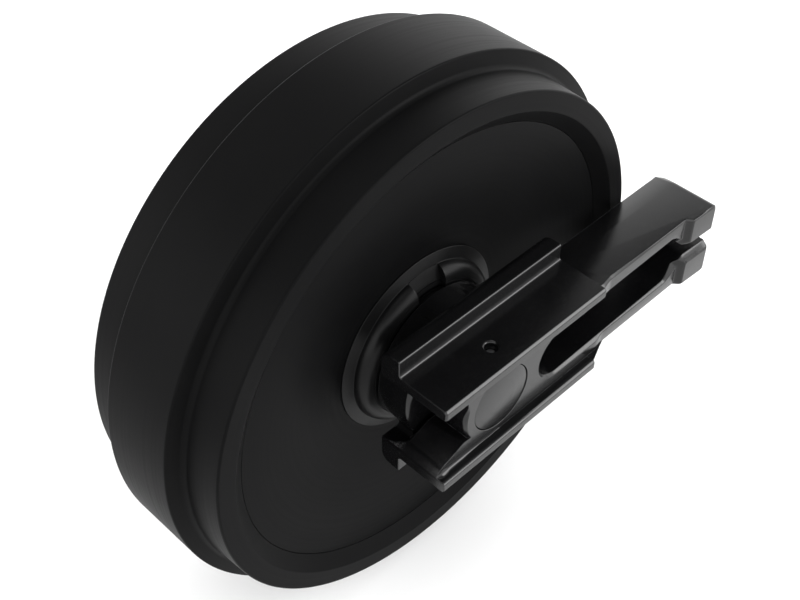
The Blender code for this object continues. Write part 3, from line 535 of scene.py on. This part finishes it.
def makeCollars(form):
    # the bead's section is a quarter of an ellipse:
    # radius = bore + width cos t, outward = foot + height sin t
    turn = np.linspace(0, math.pi / 2, form["beadParts"] + 1)
    bore = form["boreRadius"] + clearance
    radius = bore + (form["beadRadius"] - bore) * np.cos(turn)
    outward = form["beadFoot"] + (form["beadTop"] - form["beadFoot"]) * np.sin(turn)
    ring = [(bore, form["foot"] + clearance), (form["radius"], form["foot"] + clearance),
            (form["radius"], form["edgeOutward"], form["edgeRounding"], 2)]
    for word, side in sides:
        corners = ring + list(zip(radius, outward))
        corners = [(corner[0], side * corner[1], *corner[2:]) for corner in corners]
        collar = newObject(f"hubCollar_{word}", turnedMesh(f"hubCollar_{word}", corners, form["steps"]))
        combine(collar, [beadGap(form, side)])
        softenEdges(collar, form["softEdge"])
        finishPiece(collar, "wheel", f"hub_collar_{word}", collarBlack, flatFaces=True)


hubForm = {
    "radius": 0.074, "outward": 0.0725, "waistRadius": 0.060, "waistOutward": 0.030, "landOutward": 0.036,
    "mouthRadius": 0.070, "mouthDepth": 0.0105, "housingRadius": 0.0541, "flangeFloor": 0.053,
    "flangeSeatRadius": 0.049, "bushingSeat": 0.050, "seatRadius": 0.042, "chamberRadius": 0.046,
    "chamberOutward": 0.0165, "bushingStart": 0.0205, "lipRounding": 0.0006, "steps": 128}


def makeHub(form, gapForm):
    floor = form["outward"] - form["mouthDepth"]
    half = [
        (form["chamberRadius"], form["chamberOutward"]), (form["seatRadius"], form["bushingStart"]),
        (form["seatRadius"], form["bushingSeat"]), (form["flangeSeatRadius"], form["bushingSeat"]),
        (form["flangeSeatRadius"], form["flangeFloor"]), (form["housingRadius"], form["flangeFloor"]),
        (form["housingRadius"], floor), (form["mouthRadius"], floor),
        (form["mouthRadius"], form["outward"], form["lipRounding"], 3),
        (form["radius"], form["outward"], form["lipRounding"], 3),
        (form["radius"], form["landOutward"]), (form["waistRadius"], form["waistOutward"]),
    ]
    hub = newObject("hubTube", turnedMesh("hubTube", bothHalves(half), form["steps"]))
    combine(hub, [beadGap(gapForm, side) for word, side in sides])
    return finishPiece(hub, "wheel", "hub_tube", wheelBlack)


makeRim(rimForm)
makeWebs(webForm)
makeCollars(collarForm)
makeHub(hubForm, collarForm)
print("wheel built")


# Shaft, pins and plug

shaftForm = {
    "radius": 0.0357, "outward": 0.1622, "chamfer": 0.001, "groove": 0.098, "grooveHalf": 0.0031,
    "grooveFloor": 0.031, "plugX": 0.018, "plugRadius": 0.008, "plugDepth": 0.0121, "pinOutward": 0.1459,
    "pinHole": 0.0055, "pinReach": 0.04, "past": 0.002, "steps": 128}


def makeShaft(form):
    half = [
        (0, form["outward"]),
        (form["radius"], form["outward"], form["chamfer"], 4),
        (form["radius"], form["groove"] + form["grooveHalf"]),
        (form["grooveFloor"], form["groove"] + form["grooveHalf"]),
        (form["grooveFloor"], form["groove"] - form["grooveHalf"]),
        (form["radius"], form["groove"] - form["grooveHalf"]),
    ]
    shaft = newObject("idlerShaft", turnedMesh("idlerShaft", bothHalves(half), form["steps"]))
    past = form["outward"] + form["past"]
    plugFloor = form["outward"] - form["plugDepth"]
    cutters = [rodMesh("plugSeat", form["plugRadius"], (form["plugX"], plugFloor, 0),
                       (form["plugX"], past, 0))]
    for word, side in sides:
        outward, reach = side * form["pinOutward"], form["pinReach"]
        cutters.append(rodMesh("pinHole", form["pinHole"], (0, outward, -reach), (0, outward, reach)))
    combine(shaft, cutters)
    return finishPiece(shaft, "carrier", "shaft", shaftBlack)


pinForm = {"radius": 0.0052, "halfLength": 0.047, "rounding": 0.001, "outward": 0.1459, "steps": 48}


def makeLockPins(form):
    # a round bar along Z with rolled ends: the turned profile, with its own axis laid upright
    half = [(0, form["halfLength"]), (form["radius"], form["halfLength"], form["rounding"], 4)]
    for word, side in sides:
        mesh = turnedMesh(f"lockPinBar_{word}", bothHalves(half), form["steps"])
        upright = Matrix.Rotation(math.pi / 2, 4, "X")
        mesh.transform(Matrix.Translation((0, side * form["outward"], 0)) @ upright)
        finishPiece(newObject(f"lockPinBar_{word}", mesh), "carrier", f"lock_pin_{word}",
                    metalMaterials["pinSteel"])


plugForm = {"x": 0.018, "radius": 0.0077, "start": 0.1504, "end": 0.1619, "socket": 0.0042,
            "socketDepth": 0.006, "past": 0.002, "rounding": 0.0006, "steps": 48}


def makePlug(form):
    length = form["end"] - form["start"]
    corners = [(0, 0), (form["radius"], 0, form["rounding"], 2),
               (form["radius"], length, form["rounding"], 3), (0, length)]
    mesh = turnedMesh("oilPlugBody", corners, form["steps"])
    mesh.transform(Matrix.Translation((form["x"], form["start"], 0)))
    plug = newObject("oilPlugBody", mesh)
    combine(plug, [rodMesh("socket", form["socket"], (form["x"], form["end"] - form["socketDepth"], 0),
                           (form["x"], form["end"] + form["past"], 0), steps=6)])
    return finishPiece(plug, "carrier", "oil_plug", metalMaterials["pinSteel"])


makeShaft(shaftForm)
makeLockPins(pinForm)
makePlug(plugForm)
print("shaft, pins and plug built")


# The forked brackets

forkForm = {
    "eyeRadius": 0.049, "eyeFillet": 0.022, "rootHeight": 0.0545, "fadeStart": 0.006, "fadeEnd": 0.024,
    "sunk": 0.0001, "webOutward": 0.163, "halfHeight": 0.0455, "edgeWidth": 0.0028, "webDrop": 0.003,
    "armDrop": 0.002, "inner": 0.095, "armOutward": 0.1605, "stepStart": 0.142, "stepEnd": 0.158,
    "facetOutward": 0.1176, "facetDrop": 0.004, "tipX": 0.319, "tipRounding": 0.006, "tipOutward": 0.169,
    "tipStep": 0.1673, "tipStart": 0.275, "tipEnd": 0.283, "webStation": 0.06, "armStation": 0.22,
    "softEdge": 0.0006, "softAngle": 20, "joinReach": 0.00003, "planeReach": 0.00002}
slotForm = {"halfHeight": 0.028, "centreX": 0.083, "chamfer": 0.0027, "hookGap": 0.007, "hookChamfer": 0.0075,
            "hookStart": 0.255, "hookEnd": 0.285, "tipPast": 0.006, "facePast": 0.0015, "innerPast": 0.01}
railForm = {
    "front": -0.086, "rear": 0.1325, "height": 0.05585, "underside": 0.0432, "outward": 0.173,
    "chamfer": 0.0024, "endRounding": 0.0012, "footRounding": 0.0012, "ribInner": 0.092,
    "ribOuter": 0.1154, "ribHeight": 0.075, "ribRounding": 0.012, "ribEdge": 0.002, "ribFillet": 0.003}
bossForm = {"radius": 0.0736, "front": 0.075, "back": 0.1151, "rounding": 0.005, "noseRadius": 0.0667,
            "nose": 0.065, "noseRounding": 0.001, "frontRounding": 0.001, "fillet": 0.0055,
            "filletSunk": 0.0004, "filletInside": 0.002, "filletInset": 0.0015}
# the ramp's rows give, behind the rail's front: inner x, outer x, inner top, outer top, foot height, foot
# width and the skirt's width towards the wheel
rampForm = {
    "inner": 0.121, "outward": 0.1627, "root": 0.0004, "parts": 5, "footParts": 5, "rows": [
        (0, 0, 0.0021, 0.0006, 0.0002, 0.001, 0.024),
        (0.0022, 0.0022, 0.0063, 0.0046, 0.0042, 0.005, 0.020),
        (0.0058, 0.0058, 0.0098, 0.0079, 0.0074, 0.0065, 0.015),
        (0.0148, 0.0148, 0.0136, 0.0116, 0.005, 0.005, 0.006),
        (0.0304, 0.0353, 0.0203, 0.0199, 0.0036, 0.0035, 0.0005),
        (0.048, 0.048, 0.0192, 0.0192, 0.0026, 0.0025, 0.0005),
        (0.0848, 0.0848, 0.0192, 0.0192, 0.0015, 0.0015, 0.0005)], "curvedRows": 4}
# the lower rail's rear end runs out to the arm: (x, outward) along its edge
tailForm = {
    "edge": [(0.1305, 0.1712), (0.1330, 0.1706), (0.1398, 0.1677), (0.1481, 0.1642), (0.1514, 0.1629),
             (0.1545, 0.1618), (0.1585, 0.1602)],
    "backOutward": 0.157, "sunk": 0.0001, "upright": 0.0008, "depth": 0.0035, "shrink": 0.0015}
boreForm = {"shaft": 0.036, "housing": 0.0541, "housingDepth": 0.0790, "past": 0.005, "pinHole": 0.0055,
            "pinReach": 0.06, "countersink": 0.00825, "countersinkPast": 0.001, "pinOutward": 0.1459}


def faceOutward(x, form):
    # the outer face steps in from the web to the arms, swells at the tips and leans out to the end
    face = easeTo(x, form["stepStart"], form["stepEnd"], form["webOutward"], form["armOutward"])
    face = face + easeTo(x, form["tipStart"], form["tipEnd"], 0, form["tipStep"] - form["armOutward"])
    lean = (form["tipOutward"] - form["tipStep"]) / (form["tipX"] - form["tipEnd"])
    return face + np.maximum(np.asarray(x) - form["tipEnd"], 0) * lean


def arc(centre, radius, start, end, count):
    # centre + radius (cos t, sin t)
    turn = np.linspace(start, end, count)
    return np.array(centre) + radius * np.stack([np.cos(turn), np.sin(turn)], -1)


def webFront(form, rail):
    # round the eye from the lower rail, then a concave fillet that touches both the eye and the upper rail
    reach = form["eyeRadius"] + form["eyeFillet"]
    filletZ = rail["underside"] + form["sunk"] - form["eyeFillet"]
    filletX = -math.sqrt(reach ** 2 - filletZ ** 2)
    start = math.asin(form["halfHeight"] / form["eyeRadius"])
    end = math.asin(filletZ / reach)
    eye = arc((0, 0), form["eyeRadius"], math.pi + start, math.pi - end, 48)
    fillet = arc((filletX, filletZ), form["eyeFillet"], -end, math.pi / 2, 24)[1:]
    rootEnd = form["rootHeight"] - form["halfHeight"]
    return np.vstack([eye, fillet, [[filletX, form["rootHeight"]], [0, form["rootHeight"]],
                                    [rootEnd, form["halfHeight"]]]])


def insetOutline(outline, amount):
    # every point moves inwards along the mean of its two sides' normals, further where the corner is sharp
    first = outline - np.roll(outline, 1, axis=0)
    first /= np.linalg.norm(first, axis=1)[:, None]
    second = np.roll(first, -1, axis=0)
    normal = np.stack([first[:, 1] + second[:, 1], -first[:, 0] - second[:, 0]], -1)
    normal /= np.linalg.norm(normal, axis=1)[:, None]
    stretch = 1 / np.maximum(normal[:, 0] * first[:, 1] - normal[:, 1] * first[:, 0], 0.5)
    return outline + normal * (amount * stretch)[:, None]


def forkPlate(form, rail):
    # the outline (x, z) runs up the front, along the top, round the tip and back below. Four such rows at
    # rising outward make the sides. One face closes the front of each end, and strips from top to bottom the
    # rest
    front = webFront(form, rail)
    stations = np.concatenate([
        [form["webStation"]], np.linspace(form["stepStart"], form["stepEnd"], 9), [form["armStation"]],
        np.linspace(form["tipStart"], form["tipEnd"], 9)])
    cornerX, cornerZ = form["tipX"] - form["tipRounding"], form["halfHeight"] - form["tipRounding"]
    top = np.vstack([
        np.stack([stations, np.full(len(stations), form["halfHeight"])], -1),
        arc((cornerX, cornerZ), form["tipRounding"], math.pi / 2, 0, 7)])
    outline = np.vstack([front, top, top[::-1] * (1, -1)])

    def row(points, outward):
        return np.stack([points[:, 0], np.broadcast_to(outward, len(points)), points[:, 1]], -1)

    x, z = outline.T
    facetInner = form["inner"] + form["facetDrop"]
    facet = easeTo(abs(z), cornerZ, form["halfHeight"], facetInner, form["facetOutward"])
    drop = easeTo(x, form["stepStart"], form["stepEnd"], form["webDrop"], form["armDrop"])
    drop = np.where(x < 0, easeTo(z, form["fadeStart"], form["fadeEnd"], form["webDrop"], 0), drop)
    inner, outer = insetOutline(outline, form["facetDrop"]), insetOutline(outline, form["edgeWidth"])
    rings = np.stack([
        row(inner, form["inner"]), row(outline, facet), row(outline, faceOutward(x, form) - drop),
        row(outer, faceOutward(outer[:, 0], form))])
    mesh = meshFromGrid("forkPlate", rings, closedAlong=False)
    bm = bmesh.new()
    bm.from_mesh(mesh)
    bm.verts.ensure_lookup_table()
    count, first = rings.shape[1], len(front)
    for base in (0, 3 * count):
        bm.faces.new([bm.verts[base + j] for j in (*range(first + 1), count - 1)])
        for k in range(len(top) - 1):
            corners = (first + k, first + k + 1, count - 2 - k, count - 1 - k)
            bm.faces.new([bm.verts[base + j] for j in corners])
    bmesh.ops.recalc_face_normals(bm, faces=bm.faces)
    bm.to_mesh(mesh)
    bm.free()
    return mesh


def slotSolid(form, fork):
    # the slot's outline at four depths: straight through the arms, then pushed out along its own normal by
    # the chamfer at the outer face
    turn = np.linspace(0, math.pi / 2, 25)
    x = form["centreX"] - form["halfHeight"] * np.cos(turn)
    hookX = np.linspace(form["hookStart"], form["hookEnd"], 17)
    past = fork["tipX"] + form["tipPast"]
    x = np.concatenate([x, hookX, [past]])
    hookZ = easeTo(hookX, form["hookStart"], form["hookEnd"], form["halfHeight"], form["hookGap"])
    z = np.concatenate([form["halfHeight"] * np.sin(turn), hookZ, [form["hookGap"]]])
    chamfer = easeTo(x, form["hookStart"], form["hookEnd"], form["chamfer"], form["hookChamfer"])
    outline = np.vstack([np.stack([x, z], -1), np.stack([x, -z], -1)[:0:-1]])
    chamfer = np.concatenate([chamfer, chamfer[:0:-1]])
    along = np.roll(outline, -1, axis=0) - np.roll(outline, 1, axis=0)
    along /= np.linalg.norm(along, axis=1)[:, None]
    away = np.stack([-along[:, 1], along[:, 0]], -1)
    away[[len(x) - 1, len(x)]] = [[0, 1], [0, -1]]
    flared = outline + away * chamfer[:, None]
    over = form["facePast"]
    face = faceOutward(flared[:, 0], fork)
    wide = flared + away * over

    def ring(points, outward):
        return np.stack([points[:, 0], np.broadcast_to(outward, len(points)), points[:, 1]], -1)

    return ringStack("slotSolid", np.stack([
        ring(outline, fork["inner"] - form["innerPast"]), ring(outline, face - chamfer), ring(flared, face),
        ring(wide, face + over)]))


def railMesh(form, up):
    # the flange-and-rib section (outward, z) carried along X, drawn in a little at both ends
    section = arcCorners([
        (form["ribInner"], form["underside"], form["footRounding"], 3),
        (form["ribInner"], form["ribHeight"], form["ribRounding"], 12),
        (form["ribOuter"], form["ribHeight"], form["ribEdge"], 6),
        (form["ribOuter"], form["height"], form["ribFillet"], 6),
        (form["outward"], form["height"], form["chamfer"], 1),
        (form["outward"], form["underside"], form["chamfer"], 1)])
    along = np.roll(section, -1, axis=0) - np.roll(section, 1, axis=0)
    along /= np.linalg.norm(along, axis=1)[:, None]
    inward = np.stack([along[:, 1], -along[:, 0]], -1)
    shrink = section + inward * form["endRounding"]

    def ring(x, points):
        return np.stack([np.full(len(points), x), points[:, 0], up * points[:, 1]], -1)

    rounding = form["endRounding"]
    return ringStack("guideRail", np.stack([
        ring(form["front"], shrink), ring(form["front"] + rounding, section),
        ring(form["rear"] - rounding, section), ring(form["rear"], shrink)]))


def bossFillet(form, rail, up, ahead):
    # a section (x, z) under the concave arc between the boss's round side and a rail, carried along Y
    reach = form["radius"] + form["fillet"]
    centreZ = rail["underside"] - form["fillet"]
    centreX = math.sqrt(reach ** 2 - centreZ ** 2)
    touch = arc((centreX, centreZ), form["fillet"], math.pi + math.atan2(centreZ, centreX), math.pi / 2, 12)
    top = rail["underside"] + form["filletSunk"]
    inside = math.sqrt(form["radius"] ** 2 - rail["underside"] ** 2) - form["filletInside"]
    section = np.vstack([touch, [[centreX, top], [inside, top], [inside, touch[0, 1]]]])
    rows = [np.stack([ahead * section[:, 0], np.full(len(section), outward), up * section[:, 1]], -1)
            for outward in (rail["ribInner"] + form["filletInset"], form["back"] - form["rounding"] / 2)]
    return ringStack("bossFillet", np.stack(rows))


def curvedRows(rows, parts):
    # between two rows a cubic in x that keeps both: a row's slope is the harmonic mean of its two chords'
    # slopes, level where they turn, and the one chord's own at the ends
    x = rows[:, 0]
    chords = np.diff(rows, axis=0) / np.diff(x)[:, None]
    same = chords[:-1] * chords[1:] > 0
    mean = 2 * chords[:-1] * chords[1:] / np.where(same, chords[:-1] + chords[1:], 1)
    slopes = np.vstack([chords[:1], np.where(same, mean, 0), chords[-1:]])
    share = (np.arange(parts) / parts)[None, :, None]
    span = np.diff(x)[:, None, None]
    low, high = rows[:-1, None], rows[1:, None]
    bend = (slopes[:-1, None] - chords[:, None]) * (1 - share) - (slopes[1:, None] - chords[:, None]) * share
    curve = low + (high - low) * share + span * share * (1 - share) * bend
    return np.vstack([curve.reshape(-1, rows.shape[1]), rows[-1:]])


def rampMesh(form, rail):
    # sections across the rail, lofted along it: skirt, inner top, outer top, upright wall and a concave foot,
    # a quarter of an ellipse: outward = wall + width (1 - cos t), z = height (1 - sin t)
    rows = np.array(form["rows"], float)
    count = form["curvedRows"]
    rows = np.vstack([curvedRows(rows[:count], form["parts"]), rows[count:]])
    innerX, outerX, innerTop, outerTop, foot, footWidth, skirt = rows.T[:, :, None]
    turn = np.linspace(0, math.pi / 2, form["footParts"] + 1)[None]
    level = np.ones_like(innerX)
    x = np.hstack([innerX, innerX, outerX, outerX + 0 * turn, outerX])
    outward = np.hstack([
        form["inner"] - skirt, form["inner"] * level, form["outward"] * level,
        form["outward"] + footWidth * (1 - np.cos(turn)), form["outward"] + footWidth])
    root = -form["root"] * level
    z = np.hstack([root, innerTop, outerTop, foot * (1 - np.sin(turn)), root])
    frontX = rail["front"] + rail["endRounding"]
    return ringStack("ramp", np.stack([frontX + x, outward, z - rail["underside"]], -1))


def tailMesh(form, rail):
    # the plan's edge at the rail's upper face, and the same drawn in and lowered, joined into one solid
    edge = np.array(form["edge"], float)
    back = np.array([[edge[-1, 0], form["backOutward"]], [edge[0, 0], form["backOutward"]]])
    rows = []
    for shrink, depth in ((0, -form["sunk"]), (0, form["upright"]), (form["shrink"], form["depth"])):
        plan = np.vstack([edge - (0, shrink), back])
        rows.append(np.stack([plan[:, 0], plan[:, 1], np.full(len(plan), -rail["underside"] - depth)], -1))
    return ringStack("tail", np.stack(rows))


def makeBrackets():
    plate = newObject("forkPlate", splitFaces(forkPlate(forkForm, railForm)))
    combine(plate, [splitFaces(slotSolid(slotForm, forkForm))])
    facesOutward(plate.data, nearest=forkForm["joinReach"])
    boss = turnedMesh("boss", [
        (0, bossForm["nose"]), (bossForm["noseRadius"], bossForm["nose"], bossForm["noseRounding"], 3),
        (bossForm["noseRadius"], bossForm["front"]),
        (bossForm["radius"], bossForm["front"], bossForm["frontRounding"], 3),
        (bossForm["radius"], bossForm["back"], bossForm["rounding"], 6), (0, bossForm["back"])], 128)
    fillets = [bossFillet(bossForm, railForm, up, ahead) for up in (1, -1) for ahead in (1, -1)]
    ramp = splitFaces(rampMesh(rampForm, railForm))
    tail = splitFaces(tailMesh(tailForm, railForm))
    combine(plate, [boss, railMesh(railForm, 1), railMesh(railForm, -1), *fillets, ramp, tail], "UNION")
    mouth, past = bossForm["nose"] - boreForm["past"], forkForm["webOutward"] + boreForm["past"]
    bore = turnedMesh("bore", [
        (0, mouth), (boreForm["housing"], mouth), (boreForm["housing"], boreForm["housingDepth"]),
        (boreForm["shaft"], boreForm["housingDepth"]), (boreForm["shaft"], past), (0, past)], 128)
    depth = boreForm["countersink"] - boreForm["pinHole"]
    over, reach = boreForm["countersinkPast"], boreForm["pinReach"]
    cutters = [bore, rodMesh("pinHole", boreForm["pinHole"], (0, boreForm["pinOutward"], -reach),
                             (0, boreForm["pinOutward"], reach))]
    for up in (1, -1):
        start = (0, boreForm["pinOutward"], up * (railForm["height"] - depth))
        end = (0, boreForm["pinOutward"], up * (railForm["height"] + over))
        cutters.append(rodMesh("countersink", boreForm["pinHole"], start, end,
                               endRadius=boreForm["countersink"] + over))
    combine(plate, cutters)
    # the ramp's wall was kept a little inside the web's face for the cuts, and now both become one plane
    place = np.empty(len(plate.data.vertices) * 3, np.float32)
    plate.data.vertices.foreach_get("co", place)
    outward = place[1::3]
    outward[abs(outward - rampForm["outward"]) < forkForm["planeReach"]] = forkForm["webOutward"]
    plate.data.vertices.foreach_set("co", place)
    facesOutward(plate.data, nearest=forkForm["joinReach"])
    softenEdges(plate, forkForm["softEdge"], angle=forkForm["softAngle"])
    for word, side in sides:
        mesh = plate.data.copy()
        mesh.transform(Matrix.Diagonal((1, side, 1, 1)))
        if side < 0:
            mesh.flip_normals()
        mesh.name = f"forkedBracket_{word}"
        finishPiece(newObject(mesh.name, mesh), "carrier", f"bracket_{word}",
                    bracketBlack, smoothAngle=60, flatFaces=True)
    bpy.data.objects.remove(plate)


makeBrackets()
print("brackets built")


# Studio

studio = {
    "floorZ": -0.2905, "floorSize": 14.0, "floorDark": (0.9, 0.9, 0.9), "floorPale": (0.93, 0.93, 0.93),
    "floorRoughness": 0.75, "skyLow": 3.0, "skyHigh": 0.5, "skyFrom": 0.46, "skyTo": 0.66,
    "lights": [
        {"name": "topSoftbox", "at": (-0.6, 0.3, 2.6), "aim": (0, 0, 0), "size": (2.4, 2.4), "power": 22},
        {"name": "frontSoftbox", "at": (1.5, -2.1, 1.5), "aim": (0.05, -0.1, 0), "size": (1.2, 1.6),
         "power": 45}],
}


def makeFloor(form):
    half = form["floorSize"] / 2
    u, v = np.meshgrid(np.linspace(-half, half, 9), np.linspace(-half, half, 9), indexing="ij")
    grid = np.stack([u, v, np.full_like(u, form["floorZ"])], -1)
    floor = newObject("studioFloor", meshFromGrid("studioFloor", grid, False, False))
    material, tree, shader, place = newMaterial("paleFloor")
    cloud = noiseNode(tree, place, 3.0, 3.0)
    colour = mixColour(tree, cloud, (*form["floorDark"], 1), (*form["floorPale"], 1))
    tree.links.new(colour, shader.inputs["Base Color"])
    shader.inputs["Roughness"].default_value = form["floorRoughness"]
    floor.data.materials.append(material)


def lookAt(at, aim):
    back = np.array(at, float) - np.array(aim, float)
    back /= np.linalg.norm(back)
    right = np.cross([0, 0, 1], back)
    right /= np.linalg.norm(right)
    up = np.cross(back, right)
    return Matrix([[right[k], up[k], back[k], at[k]] for k in range(3)] + [[0, 0, 0, 1]])


def makeLights(form):
    for settings in form["lights"]:
        light = bpy.data.lights.new(settings["name"], "AREA")
        light.shape = "RECTANGLE"
        light.size, light.size_y = settings["size"]
        light.energy = settings["power"]
        lamp = bpy.data.objects.new(settings["name"], light)
        scene.collection.objects.link(lamp)
        lamp.matrix_world = lookAt(settings["at"], settings["aim"])
    world = bpy.data.worlds.new("studioWhite")
    scene.world = world
    world.use_nodes = True
    tree = world.node_tree
    # the room is bright low down and dim overhead: between two levels the strength falls with the sine of
    # the height
    direction = addNode(tree, "ShaderNodeVectorMath", {"operation": "NORMALIZE"},
                        at0=tree.nodes.new("ShaderNodeTexCoord").outputs["Generated"]).outputs[0]
    height = addNode(tree, "ShaderNodeSeparateXYZ", Vector=direction).outputs[2]
    strength = rangeNode(tree, height, form["skyFrom"], form["skyTo"], form["skyLow"], form["skyHigh"])
    background = tree.nodes["Background"]
    background.inputs["Color"].default_value = (1, 1, 1, 1)
    tree.links.new(strength, background.inputs["Strength"])
    scene.view_settings.view_transform = "Standard"


cameraForm = {"at": (-0.62943, -0.65180, 0.90654), "azimuth": -45.38, "elevation": 44.65, "roll": 0.47,
              "lens": 58.75, "sensor": 36.0, "farthest": 50}


def makeCamera(form):
    # right lies level and forward points down by the elevation, then right and up turn by the roll
    azimuth, elevation, roll = (math.radians(form[key]) for key in ("azimuth", "elevation", "roll"))
    right = np.array([math.cos(azimuth), math.sin(azimuth), 0])
    forward = np.array([-math.sin(azimuth) * math.cos(elevation), math.cos(azimuth) * math.cos(elevation),
                        -math.sin(elevation)])
    up = np.cross(right, forward)
    turnedRight = math.cos(roll) * right + math.sin(roll) * up
    turnedUp = math.cos(roll) * up - math.sin(roll) * right
    data = bpy.data.cameras.new("studioCamera")
    data.lens = form["lens"]
    data.sensor_width = form["sensor"]
    data.sensor_fit = "HORIZONTAL"
    data.clip_end = form["farthest"]
    camera = bpy.data.objects.new("studioCamera", data)
    scene.collection.objects.link(camera)
    axes = np.stack([turnedRight, turnedUp, -forward], axis=1)
    camera.matrix_world = Matrix([[*axes[k], form["at"][k]] for k in range(3)] + [[0, 0, 0, 1]])
    scene.camera = camera


makeFloor(studio)
makeLights(studio)
makeCamera(cameraForm)
print("studio built")

bpy.context.view_layer.update()
